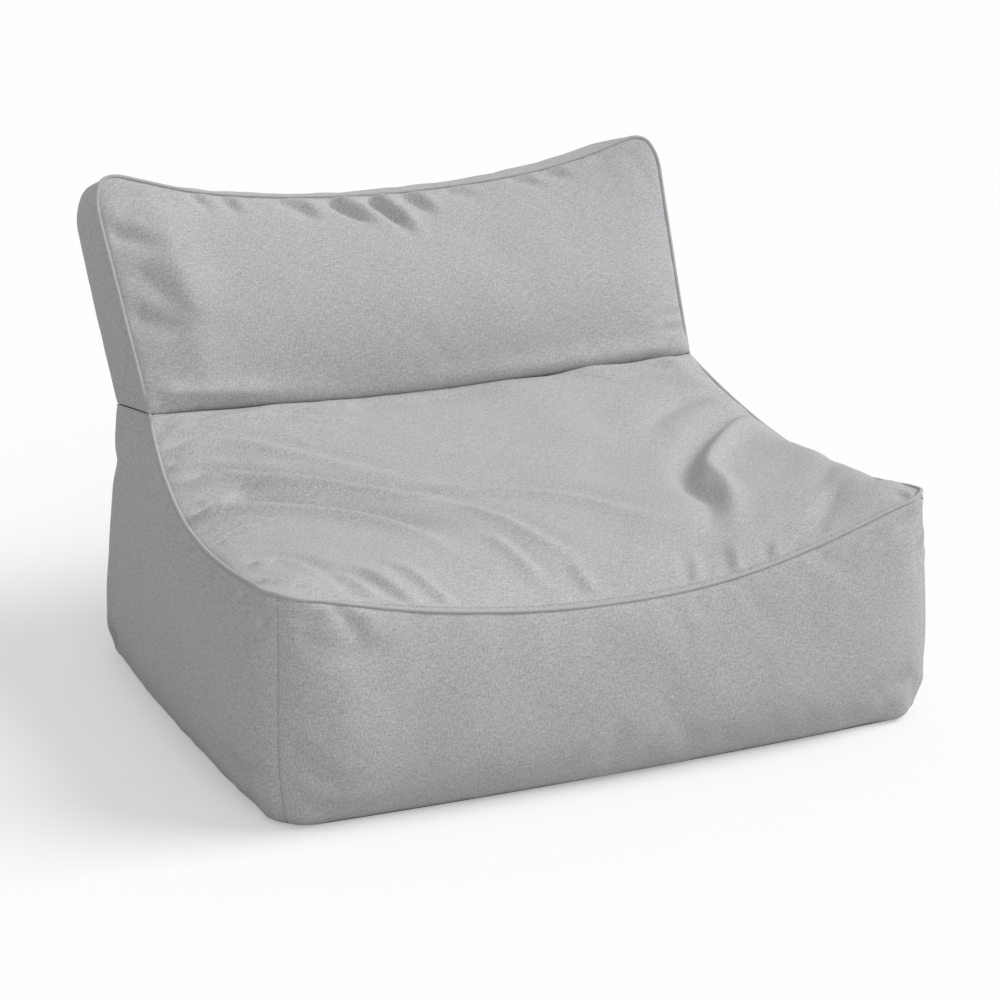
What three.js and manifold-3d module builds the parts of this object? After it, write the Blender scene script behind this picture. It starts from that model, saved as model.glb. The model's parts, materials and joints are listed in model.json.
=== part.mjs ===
// Bean bag chair: a boxed seat bag with a boxed backrest bag sewn to its crease.
// Millimetres, +Z up, the sitter faces -Y. The crease between the two bags is y = 0
// while the pieces are made; the group is then moved so that the origin lies on the
// floor under the middle of the whole chair.
import * as THREE from "three";
import { mergeVertices } from "three/addons/utils/BufferGeometryUtils.js";
import Module from "manifold-3d";

const wasm = await Module();
wasm.setup();

// Seat bag, measured along its seams
const seatWidth = 932; // between the front corners of the sitting surface
const seatDepth = 606; // front corners to the crease
const frontCornerHeight = 312;
const frontSeamSag = 72; // the front seam hangs this far in the middle
const frontSeamBow = 20; // and stands this far forward there
const sideSeamLowHeight = 288; // the side seams dip to this height
const sideSeamLowShare = 0.43; // part of the way from front corner to crease
const creaseInset = 42; // each end of the crease inside the front corners
const creaseWidth = seatWidth - 2 * creaseInset;
const creaseHeight = 376;
const creaseDrop = 12; // the crease is lower in the middle
const seatCrown = 56; // rise of the sitting surface over its seams
const rearCornerInset = 26;
const rearCornerWidth = seatWidth - 2 * rearCornerInset;
const rearCornerDepth = 107; // crease to the rear corners
const rearCornerHeight = 368;
const rearSeamBow = 85; // the rear stands this far behind its corners
const rearSeamDrop = 22;
const rearFlatShare = 0.67; // middle part of the rear that stays flat, for the zips

// Base of the seat bag
const baseSideInset = 11; // base corners inside the front corners
const baseWidth = seatWidth - 2 * baseSideInset;
const baseFrontInset = 8; // base corners behind the top front corners
const baseFrontBow = 14;
const baseRearInset = 8;
const baseRearBow = 62;
const baseSideBow = 6;

// How far the walls swell
const wallBelly = 33;
const cornerBelly = 16;
const bellyPlace = 0.5; // under 1 puts the fullest line below the middle
const bellySharpness = 0.8;
const crownFullness = 0.8; // lower fills the crowns out towards their edges

// Backrest bag
const backTopInset = 18; // top corners inside the seat's front corners
const backTopWidth = seatWidth - 2 * backTopInset;
const backRise = 303; // crease to the top front corners
const backLean = 168; // the same corners behind the crease
const backTopSag = 52;
const backTopThickness = 120; // boxing strip at the top
const backTopRearDrop = 28; // rear seam below the front seam at the top
const backFrontCrown = 46;
const backRearCrown = 34;
const gussetBulge = 9;
const backRearSagStart = 0.45; // the rear face's sag begins this far up
const leanBack = 8; // degrees that the backrest tips rearwards
const leanSpare = 0.6; // degrees of extra room under the backrest

// Cloth, piping and clearances
const coverThickness = 1.2;
const linerThickness = 0.8;
const seamGap = 0.65; // cover panel to cover panel at a seam
const layerGap = 0.85; // cover to liner, and liner to beads
const creaseGap = 0.9; // backrest over the seat at the crease
const pipingDiameter = 5.6;
const pipingSink = 1.6; // how far the cord reaches in from the seam line
const pipingStandOff = pipingDiameter / 2 - pipingSink;
const pipingGap = 0.4;
const pipingEndGap = 7; // each cord stops this far from the crease
const pipingSides = 8;
const pipingStep = 30; // length of one step along a cord
const elbowFullness = 1.04; // ball at a cord's corner against the cord

// Zips
const seatZipLength = 520;
const backZipLength = 420;
const zipWindowHeight = 24;
const zipFit = 0.3; // between zip pieces, and zip to cover
const zipTapeThickness = 1;
const zipChainWidth = 5.4;
const zipChainThickness = 2.2;
const zipStopLength = 3;
const zipSliderLength = 11;
const zipSliderWall = 1.8;
const zipSliderPlate = 2.2;
const zipBridgeSpan = 5.2; // hole under the bridge
const zipBridgeRise = 2; // height of that hole
const zipBridgeWall = 1.3;
const zipBridgeWidth = 2.4;
const zipPullLength = 27;
const zipPullWidth = 8;
const zipPullThickness = 1.3;
const linerSlotShare = 0.75; // the liner's slot against the zip's length
const linerSlotHeight = 16;
const windowDepth = 20; // of the tools that cut windows and slots
const zipTapeSink = 0.1; // tape below the cover's outer face
const zipEdge = 0.8; // chamfer along the slider
const zipBridgeRoot = 0.4; // depth of the bridge's feet in the slider
const zipBridgeCorner = 1;
const zipPullPlay = 0.45; // bridge to the pull's slot, each side
const zipPullSlotSpare = 2.2;
const zipPullNeck = 2; // slot's end to where the tab tapers
const zipPullTip = 3; // length of the tab's end
const zipPullTaper = 1;
const zipPullTipCorner = 2.5;
const zipCloseSpare = 1; // chain beyond the closed slider

// Grid of the two skins
const columnCount = 12;
const seatRowCount = 8;
const dividerRowCount = 2;
const gussetColumnCount = 3;
const wallLevels = [0, 0.05, 0.16, 0.34, 0.56, 0.8, 1];
const backLevels = [0, 0.09, 0.22, 0.42, 0.62, 0.82, 0.94, 1];
const zipBand = 2; // the zips lie between this level and the next
const largestInset = 0.45; // of a cell, at a panel's rim

const coverGrey = 0xa3a4a6;

// ---------------------------------------------------------------- helpers

const vec = (x, y, z) => new THREE.Vector3(x, y, z);
const mix = (a, b, share) => a + (b - a) * share;
const mixPoints = (a, b, share) => a.clone().lerp(b, share);
const evenSteps = (count) => Array.from({ length: count + 1 }, (_, i) => i / count);
const across = evenSteps(columnCount).map((s) => 2 * s - 1);
const arch = (t) => 1 - t * t;
const swell = (s, place, sharpness) => Math.sin(Math.PI * s ** place) ** sharpness;

// One over the flat middle, falling to nothing at the ends.
function flatArch(t) {
  const past = Math.max(0, Math.abs(t) - rearFlatShare) / (1 - rearFlatShare);
  return 1 - past * past;
}

// A patch is rows of points. Columns crossed with rows point out of the bag.
function makePatch(rowValues, columnValues, pointAt) {
  return rowValues.map((row) => columnValues.map((column) => pointAt(column, row)));
}

// The two triangles of one cell of a patch, wound to face out.
function cellTriangles(patch, r, c) {
  const [a, b, d, e] = [patch[r][c], patch[r][c + 1], patch[r + 1][c], patch[r + 1][c + 1]];
  return [
    [a, b, e],
    [a, e, d],
  ];
}

// Every triangle of a patch.
function* patchTriangles(patch) {
  for (let r = 0; r + 1 < patch.length; r++) {
    for (let c = 0; c + 1 < patch[r].length; c++) yield* cellTriangles(patch, r, c);
  }
}

const pointKey = (p) => p.toArray().map((v) => Math.round(v * 100)).join(",");

// The short vector that reaches one along each of the normals, as nearly as one can.
function sharedMove(normals) {
  const slack = 0.01 * normals.length; // keeps nearly parallel normals from a long reach
  const sums = [slack, 0, 0, 0, slack, 0, 0, 0, slack];
  const total = vec(0, 0, 0);
  for (const normal of normals) {
    const n = normal.toArray();
    n.forEach((a, i) => n.forEach((b, j) => (sums[3 * i + j] += a * b)));
    total.add(normal);
  }
  return total.applyMatrix3(new THREE.Matrix3().set(...sums).invert());
}

// For every point of the patches, the move that sets all faces round it out by one.
function outwardMoves(patches) {
  const normals = new Map();
  for (const triangle of patches.flatMap((patch) => [...patchTriangles(patch)])) {
    const normal = vec(0, 0, 0);
    new THREE.Triangle(...triangle).getNormal(normal);
    for (const key of triangle.map(pointKey)) {
      if (!normals.has(key)) normals.set(key, []);
      normals.get(key).push(normal);
    }
  }
  const moves = new Map();
  for (const [key, around] of normals) moves.set(key, sharedMove(around));
  return moves;
}

function moved(patch, moves, distance) {
  return patch.map((row) =>
    row.map((p) => p.clone().addScaledVector(moves.get(pointKey(p)), distance)),
  );
}

function trianglesOf(patch, flip, out) {
  for (const [a, b, c] of patchTriangles(patch)) {
    for (const p of flip ? [a, c, b] : [a, b, c]) out.push(p.x, p.y, p.z);
  }
}

function geometryFrom(coordinates) {
  const geometry = new THREE.BufferGeometry();
  geometry.setAttribute("position", new THREE.Float32BufferAttribute(coordinates, 3));
  return mergeVertices(geometry, 1e-3);
}

// A closed solid bounded by the patches of a whole bag.
function skinGeometry(patches) {
  const coordinates = [];
  for (const patch of patches) trianglesOf(patch, false, coordinates);
  return geometryFrom(coordinates);
}

// The patch pulled back from its four sides: [first column, last column, first row, last row].
function insetPatch(patch, sides) {
  const towards = (from, to, distance) =>
    mixPoints(from, to, Math.min(largestInset, distance / from.distanceTo(to)));
  const narrowed = patch.map((row) => {
    const last = row.length - 1;
    const copy = [...row];
    copy[0] = towards(row[0], row[1], sides[0]);
    copy[last] = towards(row[last], row[last - 1], sides[1]);
    return copy;
  });
  const last = narrowed.length - 1;
  const shortened = [...narrowed];
  shortened[0] = narrowed[0].map((p, c) => towards(p, narrowed[1][c], sides[2]));
  shortened[last] = narrowed[last].map((p, c) => towards(p, narrowed[last - 1][c], sides[3]));
  return shortened;
}

// A cloth panel: the patch is its outer face.
function panelGeometry(patch, sides, thickness) {
  const outer = insetPatch(patch, sides);
  const inner = moved(outer, outwardMoves([outer]), -thickness);
  const lastRow = outer.length - 1;
  const lastColumn = outer[0].length - 1;
  const column = (grid, c) => grid.map((row) => row[c]);
  const coordinates = [];
  trianglesOf(outer, false, coordinates);
  trianglesOf(inner, true, coordinates);
  trianglesOf([inner[0], outer[0]], false, coordinates);
  trianglesOf([outer[lastRow], inner[lastRow]], false, coordinates);
  trianglesOf([column(outer, 0), column(inner, 0)], false, coordinates);
  trianglesOf([column(inner, lastColumn), column(outer, lastColumn)], false, coordinates);
  return geometryFrom(coordinates);
}

function solidFrom(geometry) {
  const bare = geometry.clone();
  bare.deleteAttribute("normal");
  bare.deleteAttribute("uv");
  const merged = mergeVertices(bare, 1e-3);
  return new wasm.Manifold(
    new wasm.Mesh({
      numProp: 3,
      vertProperties: merged.attributes.position.array,
      triVerts: new Uint32Array(merged.index.array),
    }),
  );
}

function geometryOfSolid(solid) {
  const mesh = solid.getMesh();
  const geometry = new THREE.BufferGeometry();
  geometry.setAttribute("position", new THREE.BufferAttribute(mesh.vertProperties, 3));
  geometry.setIndex(new THREE.BufferAttribute(mesh.triVerts, 1));
  return geometry;
}

const cut = (geometry, tool) => geometryOfSolid(solidFrom(geometry).subtract(solidFrom(tool)));
const join = (geometries) =>
  geometryOfSolid(geometries.map(solidFrom).reduce((sum, solid) => sum.add(solid)));

function makeMesh(name, geometry, look) {
  const mesh = new THREE.Mesh(geometry, new THREE.MeshStandardMaterial(look));
  mesh.name = name;
  return mesh;
}

const coverLook = { color: coverGrey, roughness: 0.95, metalness: 0 };
const pipingLook = { color: 0xa8a9ab, roughness: 0.95, metalness: 0 };
const baseLook = { color: 0x6b6c6f, roughness: 0.9, metalness: 0 };
const linerLook = { color: 0xe9e8e4, roughness: 0.7, metalness: 0 };
const beadLook = { color: 0xf4f4f2, roughness: 0.6, metalness: 0 };
const tapeLook = { color: 0x8c8d90, roughness: 0.9, metalness: 0 };
const chainLook = { color: 0x88898c, roughness: 0.5, metalness: 0 };
const metalLook = { color: 0x9a9c9f, roughness: 0.35, metalness: 0.9 };
const closureLook = { color: 0xdcdbd6, roughness: 0.85, metalness: 0 };

// ---------------------------------------------------------------- seat bag

const frontSeam = (t) =>
  vec(
    (t * seatWidth) / 2,
    -seatDepth - frontSeamBow * arch(t),
    frontCornerHeight - frontSeamSag * arch(t),
  );

function sideSeamHeight(share) {
  if (share < sideSeamLowShare) {
    const left = (sideSeamLowShare - share) / sideSeamLowShare;
    return mix(sideSeamLowHeight, frontCornerHeight, left * left);
  }
  const gone = (share - sideSeamLowShare) / (1 - sideSeamLowShare);
  return mix(sideSeamLowHeight, creaseHeight, gone * gone);
}

// side is -1 on the sitter's right and +1 on the left; share runs from front to crease.
const sideSeam = (side, share) =>
  vec(
    (side * mix(seatWidth, creaseWidth, share ** 3)) / 2,
    -seatDepth * (1 - share),
    sideSeamHeight(share),
  );

const creaseLine = (t) => vec((t * creaseWidth) / 2, 0, creaseHeight - creaseDrop * arch(t));

const rearSeam = (t) =>
  vec(
    (t * rearCornerWidth) / 2,
    rearCornerDepth + rearSeamBow * flatArch(t),
    rearCornerHeight - rearSeamDrop * flatArch(t),
  );

function sittingPoint(t, share) {
  const side = (t + 1) / 2;
  const lengthwise = mixPoints(frontSeam(t), creaseLine(t), share);
  const sideways = mixPoints(sideSeam(-1, share), sideSeam(1, share), side);
  const corners = mixPoints(
    mixPoints(frontSeam(-1), frontSeam(1), side),
    mixPoints(creaseLine(-1), creaseLine(1), side),
    share,
  );
  const point = lengthwise.add(sideways).sub(corners);
  point.z += seatCrown * arch(t) ** crownFullness * swell(share, 0.85, crownFullness);
  return point;
}

// A point of the base: t across, rear from the front edge to the rear edge.
function basePoint(t, rear) {
  const frontEdge = -seatDepth + baseFrontInset - baseFrontBow * arch(t);
  const rearEdge = rearCornerDepth - baseRearInset + baseRearBow * flatArch(t);
  const halfWidth = baseWidth / 2 + baseSideBow * arch(2 * rear - 1);
  return vec(t * halfWidth, mix(frontEdge, rearEdge, rear), 0);
}

// The wall's swelling: outward in the middle, and both ways at a corner.
function wallPoint(foot, top, outward, along, t, level, middleShare) {
  const rise = swell(level, bellyPlace, bellySharpness);
  const out = mix(cornerBelly, wallBelly, middleShare) * rise;
  return mixPoints(foot, top, level)
    .addScaledVector(outward, out)
    .addScaledVector(along, cornerBelly * rise * t);
}

function frontWallPoint(t, level) {
  const outward = vec(0, -1, 0);
  return wallPoint(basePoint(t, 0), frontSeam(t), outward, vec(1, 0, 0), t, level, arch(t ** 2));
}

function rearWallPoint(t, level) {
  const outward = vec(0, 1, 0);
  return wallPoint(basePoint(t, 1), rearSeam(t), outward, vec(1, 0, 0), t, level, flatArch(t));
}

// Columns of a side wall: the rows of the sitting surface, then those of the divider.
const sideColumns = [
  ...evenSteps(seatRowCount).map((share) => ({ share, behind: 0 })),
  ...evenSteps(dividerRowCount).slice(1).map((behind) => ({ share: 1, behind })),
].map((column) => {
  const depth = column.share * seatDepth + column.behind * rearCornerDepth;
  return { ...column, rear: depth / (seatDepth + rearCornerDepth) };
});

function sideWallPoint(side, column, level) {
  const top = mixPoints(sideSeam(side, column.share), rearSeam(side), column.behind);
  const foot = basePoint(side, column.rear);
  const t = 2 * column.rear - 1;
  return wallPoint(foot, top, vec(side, 0, 0), vec(0, 1, 0), t, level, arch(t ** 2));
}

const rearToFront = [...sideColumns].reverse();
const leftToRight = [...across].reverse();
const seat = {
  top: makePatch(evenSteps(seatRowCount), across, sittingPoint),
  divider: makePatch(evenSteps(dividerRowCount), across, (t, behind) =>
    mixPoints(creaseLine(t), rearSeam(t), behind),
  ),
  front: makePatch(wallLevels, across, frontWallPoint),
  rear: makePatch(wallLevels, leftToRight, rearWallPoint),
  plusSide: makePatch(wallLevels, sideColumns, (column, level) => sideWallPoint(1, column, level)),
  minusSide: makePatch(wallLevels, rearToFront, (column, level) =>
    sideWallPoint(-1, column, level),
  ),
  base: makePatch(rearToFront, across, (t, column) => basePoint(t, column.rear)),
};

// ---------------------------------------------------------------- backrest bag

const leanRoom = Math.tan(THREE.MathUtils.degToRad(leanBack + leanSpare));

const backBottomFront = (t) => creaseLine(t).add(vec(0, 0, creaseGap));

// The underside rises rearwards, which leaves room for the backrest to tip.
function backBottomRear(t) {
  const point = rearSeam(t);
  point.z += creaseGap + point.y * leanRoom;
  return point;
}

const backTopFront = (t) =>
  vec((t * backTopWidth) / 2, backLean, creaseHeight + backRise - backTopSag * arch(t));

function backFrontPoint(t, level) {
  const point = mixPoints(backBottomFront(t), backTopFront(t), level);
  const crown = backFrontCrown * arch(t) ** crownFullness * swell(level, 0.8, crownFullness);
  point.y -= crown;
  point.z += (crown * backLean) / backRise;
  return point;
}

const backTopRear = (t, sag) =>
  vec(
    (t * backTopWidth) / 2,
    backLean + backTopThickness,
    creaseHeight + backRise - backTopRearDrop - backTopSag * arch(t) * sag,
  );

function backRearPoint(t, level) {
  const sag = Math.max(0, level - backRearSagStart) / (1 - backRearSagStart);
  const point = mixPoints(backBottomRear(t), backTopRear(t, sag), level);
  point.y += backRearCrown * flatArch(t) * swell(level, 0.8, crownFullness);
  return point;
}

const gussetShares = evenSteps(gussetColumnCount);

function gussetPoint(front, rear, outward, share) {
  return mixPoints(front, rear, share).addScaledVector(outward, gussetBulge * arch(2 * share - 1));
}

const sideGusset = (side, share, level) =>
  gussetPoint(
    backFrontPoint(side, level),
    backRearPoint(side, level),
    vec(side * Math.min(1, 4 * level * (1 - level)), 0, 0),
    share,
  );

const topGusset = (t, share) =>
  gussetPoint(backFrontPoint(t, 1), backRearPoint(t, 1), vec(0, 0, arch(t ** 2)), share);

const back = {
  front: makePatch(backLevels, across, backFrontPoint),
  rear: makePatch(backLevels, leftToRight, backRearPoint),
  plusSide: makePatch(backLevels, gussetShares, (share, level) => sideGusset(1, share, level)),
  minusSide: makePatch(backLevels, [...gussetShares].reverse(), (share, level) =>
    sideGusset(-1, share, level),
  ),
  top: makePatch(gussetShares, across, (t, share) => topGusset(t, share)),
  bottom: makePatch([...gussetShares].reverse(), across, (t, share) =>
    mixPoints(backBottomFront(t), backBottomRear(t), share),
  ),
};

// ---------------------------------------------------------------- piping

// Cord centrelines just outside runs of seam points.
function pipingRuns(runs, moves) {
  const outside = (p) => p.clone().addScaledVector(moves.get(pointKey(p)), pipingStandOff);
  return runs.map((run) => run.map(outside));
}

function cordGeometry(runs, radius) {
  const section = new THREE.Shape(
    evenSteps(pipingSides).slice(1).map((s) => {
      const angle = 2 * Math.PI * s;
      return new THREE.Vector2(radius * Math.cos(angle), radius * Math.sin(angle));
    }),
  );
  const pieces = runs.map((run) => {
    const path = new THREE.CatmullRomCurve3(run, false, "catmullrom", 0);
    const steps = Math.ceil(path.getLength() / pipingStep);
    return new THREE.ExtrudeGeometry(section, { steps, extrudePath: path });
  });
  const elbows = runs.slice(1).map((run) => {
    const ball = new THREE.IcosahedronGeometry(radius * elbowFullness, 1);
    return ball.translate(...run[0].toArray());
  });
  return join([...pieces, ...elbows]);
}

function shortenedEnds(runs) {
  const first = [...runs[0]];
  first[0] = mixPoints(first[0], first[1], pipingEndGap / first[0].distanceTo(first[1]));
  const last = [...runs[runs.length - 1]];
  const end = last.length - 1;
  last[end] = mixPoints(last[end], last[end - 1], pipingEndGap / last[end].distanceTo(last[end - 1]));
  return [first, ...runs.slice(1, -1), last];
}

const column = (patch, c) => patch.map((row) => row[c]);

const seatMoves = outwardMoves(Object.values(seat));
const backMoves = outwardMoves(Object.values(back));
const seatRuns = pipingRuns(
  [column(seat.top, 0).reverse(), seat.top[0], column(seat.top, columnCount)],
  seatMoves,
);
const backRuns = pipingRuns(
  [
    column(back.front, 0),
    back.front[back.front.length - 1],
    column(back.front, columnCount).reverse(),
  ],
  backMoves,
);
const pipingRadius = pipingDiameter / 2;
const seatPiping = cordGeometry(shortenedEnds(seatRuns), pipingRadius);
const backPiping = cordGeometry(shortenedEnds(backRuns), pipingRadius);
const seatPipingRoom = cordGeometry(seatRuns, pipingRadius + pipingGap);
const backPipingRoom = cordGeometry(backRuns, pipingRadius + pipingGap);

// ---------------------------------------------------------------- zips

// The flat band of a rear patch, as a frame: x along the zip, y up the cloth, z out.
function zipFrame(patch) {
  const middle = columnCount / 2;
  const low = patch[zipBand][middle];
  const high = patch[zipBand + 1][middle];
  const upward = high.clone().sub(low).normalize();
  const along = vec(-1, 0, 0);
  const outward = along.clone().cross(upward);
  return new THREE.Matrix4()
    .makeBasis(along, upward, outward)
    .setPosition(mixPoints(low, high, 0.5));
}

const boxBetween = (low, high) =>
  new THREE.BoxGeometry(high[0] - low[0], high[1] - low[1], high[2] - low[2]).translate(
    (low[0] + high[0]) / 2,
    (low[1] + high[1]) / 2,
    (low[2] + high[2]) / 2,
  );

const zipWindow = (length, frame) =>
  new THREE.BoxGeometry(length, zipWindowHeight, windowDepth).applyMatrix4(frame);

const linerSlot = (length, frame) =>
  new THREE.BoxGeometry(length * linerSlotShare, linerSlotHeight, windowDepth).applyMatrix4(frame);

const linerDepth = coverThickness + layerGap;
const beadDepth = linerDepth + linerThickness + layerGap;

const outline = (points) => new THREE.Shape(points.map(([x, y]) => new THREE.Vector2(x, y)));
const hole = (points) => new THREE.Path(points.map(([x, y]) => new THREE.Vector2(x, y)));

const sliderInside = zipChainWidth / 2 + zipFit;
const sliderTop = zipChainThickness / 2 + zipFit + zipSliderPlate;

// A channel over the chain with a bridge on top.
function sliderGeometry() {
  const outer = sliderInside + zipSliderWall;
  const ceiling = sliderTop - zipSliderPlate;
  const channel = outline([
    [-outer, zipFit],
    [-sliderInside, zipFit],
    [-sliderInside, ceiling],
    [sliderInside, ceiling],
    [sliderInside, zipFit],
    [outer, zipFit],
    [outer, sliderTop - zipEdge],
    [outer - zipEdge, sliderTop],
    [zipEdge - outer, sliderTop],
    [-outer, sliderTop - zipEdge],
  ]);
  const body = new THREE.ExtrudeGeometry(channel, { depth: zipSliderLength, bevelEnabled: false })
    .translate(0, 0, -zipSliderLength / 2)
    .applyMatrix4(new THREE.Matrix4().makeBasis(vec(0, 1, 0), vec(0, 0, 1), vec(1, 0, 0)));
  const half = zipBridgeSpan / 2;
  const end = half + zipBridgeWall;
  const roof = sliderTop + zipBridgeRise;
  const arched = outline([
    [-end, sliderTop - zipBridgeRoot],
    [end, sliderTop - zipBridgeRoot],
    [end, roof],
    [end - zipBridgeCorner, roof + zipBridgeWall],
    [zipBridgeCorner - end, roof + zipBridgeWall],
    [-end, roof],
  ]);
  arched.holes.push(
    hole([
      [-half, sliderTop],
      [-half, roof],
      [half, roof],
      [half, sliderTop],
    ]),
  );
  const bridge = new THREE.ExtrudeGeometry(arched, { depth: zipBridgeWidth, bevelEnabled: false })
    .translate(0, 0, -zipBridgeWidth / 2)
    .rotateX(Math.PI / 2);
  return join([body, bridge]);
}

// A tab whose cross bar passes under the bridge; it lies along the chain.
function pullGeometry() {
  const bar = zipPullThickness / 2;
  const slotHalf = zipBridgeWidth / 2 + zipPullPlay;
  const slotEnd = zipBridgeSpan / 2 + zipBridgeWall + zipPullSlotSpare;
  const half = zipPullWidth / 2;
  const tab = outline([
    [-bar, -half],
    [slotEnd + zipPullNeck, -half],
    [zipPullLength - zipPullTip, zipPullTaper - half],
    [zipPullLength, zipPullTipCorner - half],
    [zipPullLength, half - zipPullTipCorner],
    [zipPullLength - zipPullTip, half - zipPullTaper],
    [slotEnd + zipPullNeck, half],
    [-bar, half],
  ]);
  tab.holes.push(
    hole([
      [bar, -slotHalf],
      [bar, slotHalf],
      [slotEnd, slotHalf],
      [slotEnd, -slotHalf],
    ]),
  );
  return new THREE.ExtrudeGeometry(tab, { depth: zipPullThickness, bevelEnabled: false }).translate(
    0,
    0,
    sliderTop + zipBridgeRise / 2 - bar,
  );
}

// Everything of one zip, in the frame of its flat band.
function zipGroup(prefix, length, frame) {
  const group = new THREE.Group();
  group.applyMatrix4(frame);
  const endX = length / 2 - zipFit;
  const tapeLow = zipChainWidth / 2 + zipFit;
  const tapeHigh = zipWindowHeight / 2 - zipFit;
  const depths = [-zipTapeSink - zipTapeThickness, -zipTapeSink];
  const half = zipChainThickness / 2;
  const chainEnd = endX - zipStopLength - zipFit;
  const stop = (side) =>
    boxBetween(
      [Math.min(side * endX, side * (endX - zipStopLength)), -zipChainWidth / 2, -half],
      [Math.max(side * endX, side * (endX - zipStopLength)), zipChainWidth / 2, half],
    );
  const tape = (low, high) => boxBetween([-endX, low, depths[0]], [endX, high, depths[1]]);
  group.add(
    makeMesh(prefix + "_zip_tape_upper", tape(tapeLow, tapeHigh), tapeLook),
    makeMesh(prefix + "_zip_tape_lower", tape(-tapeHigh, -tapeLow), tapeLook),
    makeMesh(
      prefix + "_zip_chain",
      boxBetween([-chainEnd, -zipChainWidth / 2, -half], [chainEnd, zipChainWidth / 2, half]),
      chainLook,
    ),
    makeMesh(prefix + "_zip_closed_stop", stop(-1), metalLook),
    makeMesh(prefix + "_zip_open_stop", stop(1), metalLook),
  );
  const closedX = -chainEnd + zipSliderLength / 2 + zipCloseSpare;
  const slider = makeMesh(prefix + "_zip_slider", sliderGeometry(), metalLook);
  slider.position.x = closedX;
  const pull = makeMesh(prefix + "_zip_pull", pullGeometry(), metalLook);
  pull.position.x = closedX;
  group.add(slider, pull);
  const slotX = (length * linerSlotShare) / 2 - zipFit;
  const slotY = linerSlotHeight / 2 - zipFit;
  group.add(
    makeMesh(
      prefix + "_liner_closure",
      boxBetween([-slotX, -slotY, -linerDepth - linerThickness], [slotX, slotY, -linerDepth]),
      closureLook,
    ),
  );
  return group;
}

// ---------------------------------------------------------------- assembly

const seatFrame = zipFrame(seat.rear);
const backFrame = zipFrame(back.rear);
const seam = coverThickness + seamGap;
const nearCrease = (seamGap + coverThickness) / 2;
const allSeams = [seam, seam, seam, seam];

const panel = (name, patch, sides, room) => {
  const cloth = panelGeometry(patch, sides, coverThickness);
  return makeMesh(name, room ? cut(cloth, room) : cloth, coverLook);
};

function linerMesh(name, patches, moves, slot) {
  const offset = (depth) => Object.values(patches).map((patch) => moved(patch, moves, -depth));
  const outside = solidFrom(skinGeometry(offset(linerDepth)));
  const inside = solidFrom(skinGeometry(offset(linerDepth + linerThickness)));
  const bag = outside.subtract(inside).subtract(solidFrom(slot));
  return makeMesh(name, geometryOfSolid(bag), linerLook);
}

function beadMesh(name, patches, moves) {
  const inner = Object.values(patches).map((patch) => moved(patch, moves, -beadDepth));
  return makeMesh(name, skinGeometry(inner), beadLook);
}

function seatBag() {
  const group = new THREE.Group();
  const base = panelGeometry(seat.base, allSeams, coverThickness);
  const rear = panelGeometry(seat.rear, allSeams, coverThickness);
  group.add(
    makeMesh("base_panel", base, baseLook),
    panel("seat_front_panel", seat.front, allSeams, seatPipingRoom),
    panel("seat_left_panel", seat.plusSide, allSeams, seatPipingRoom),
    panel("seat_right_panel", seat.minusSide, allSeams, seatPipingRoom),
    makeMesh("seat_rear_panel", cut(rear, zipWindow(seatZipLength, seatFrame)), coverLook),
    panel("seat_top_panel", seat.top, [seam, seam, seam, nearCrease], seatPipingRoom),
    panel("divider_panel", seat.divider, [seam, seam, nearCrease, seam], null),
    makeMesh("seat_piping", seatPiping, pipingLook),
    linerMesh("seat_liner", seat, seatMoves, linerSlot(seatZipLength, seatFrame)),
    beadMesh("seat_bead_fill", seat, seatMoves),
    zipGroup("seat", seatZipLength, seatFrame),
  );
  return group;
}

function backrestBag() {
  const group = new THREE.Group();
  const freeFoot = [seam, seam, 0, seam];
  const rear = panelGeometry(back.rear, freeFoot, coverThickness);
  group.add(
    panel("back_front_panel", back.front, freeFoot, backPipingRoom),
    makeMesh("back_rear_panel", cut(rear, zipWindow(backZipLength, backFrame)), coverLook),
    panel("back_left_gusset", back.plusSide, freeFoot, backPipingRoom),
    panel("back_right_gusset", back.minusSide, freeFoot, backPipingRoom),
    panel("back_top_gusset", back.top, allSeams, backPipingRoom),
    makeMesh("back_front_piping", backPiping, pipingLook),
    linerMesh("back_liner", back, backMoves, linerSlot(backZipLength, backFrame)),
    beadMesh("back_bead_fill", back, backMoves),
    zipGroup("back", backZipLength, backFrame),
  );
  return group;
}

const chair = new THREE.Group();
chair.add(seatBag(), backrestBag());

// The origin goes to the floor under the middle of the chair.
const wholeBox = new THREE.Box3().setFromObject(chair, true);
const centre = wholeBox.getCenter(vec(0, 0, 0));
chair.position.set(-centre.x, -centre.y, -wholeBox.min.z);

const beanBagChair = new THREE.Group();
beanBagChair.add(chair);

export default beanBagChair;
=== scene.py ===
import json
import math

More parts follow.
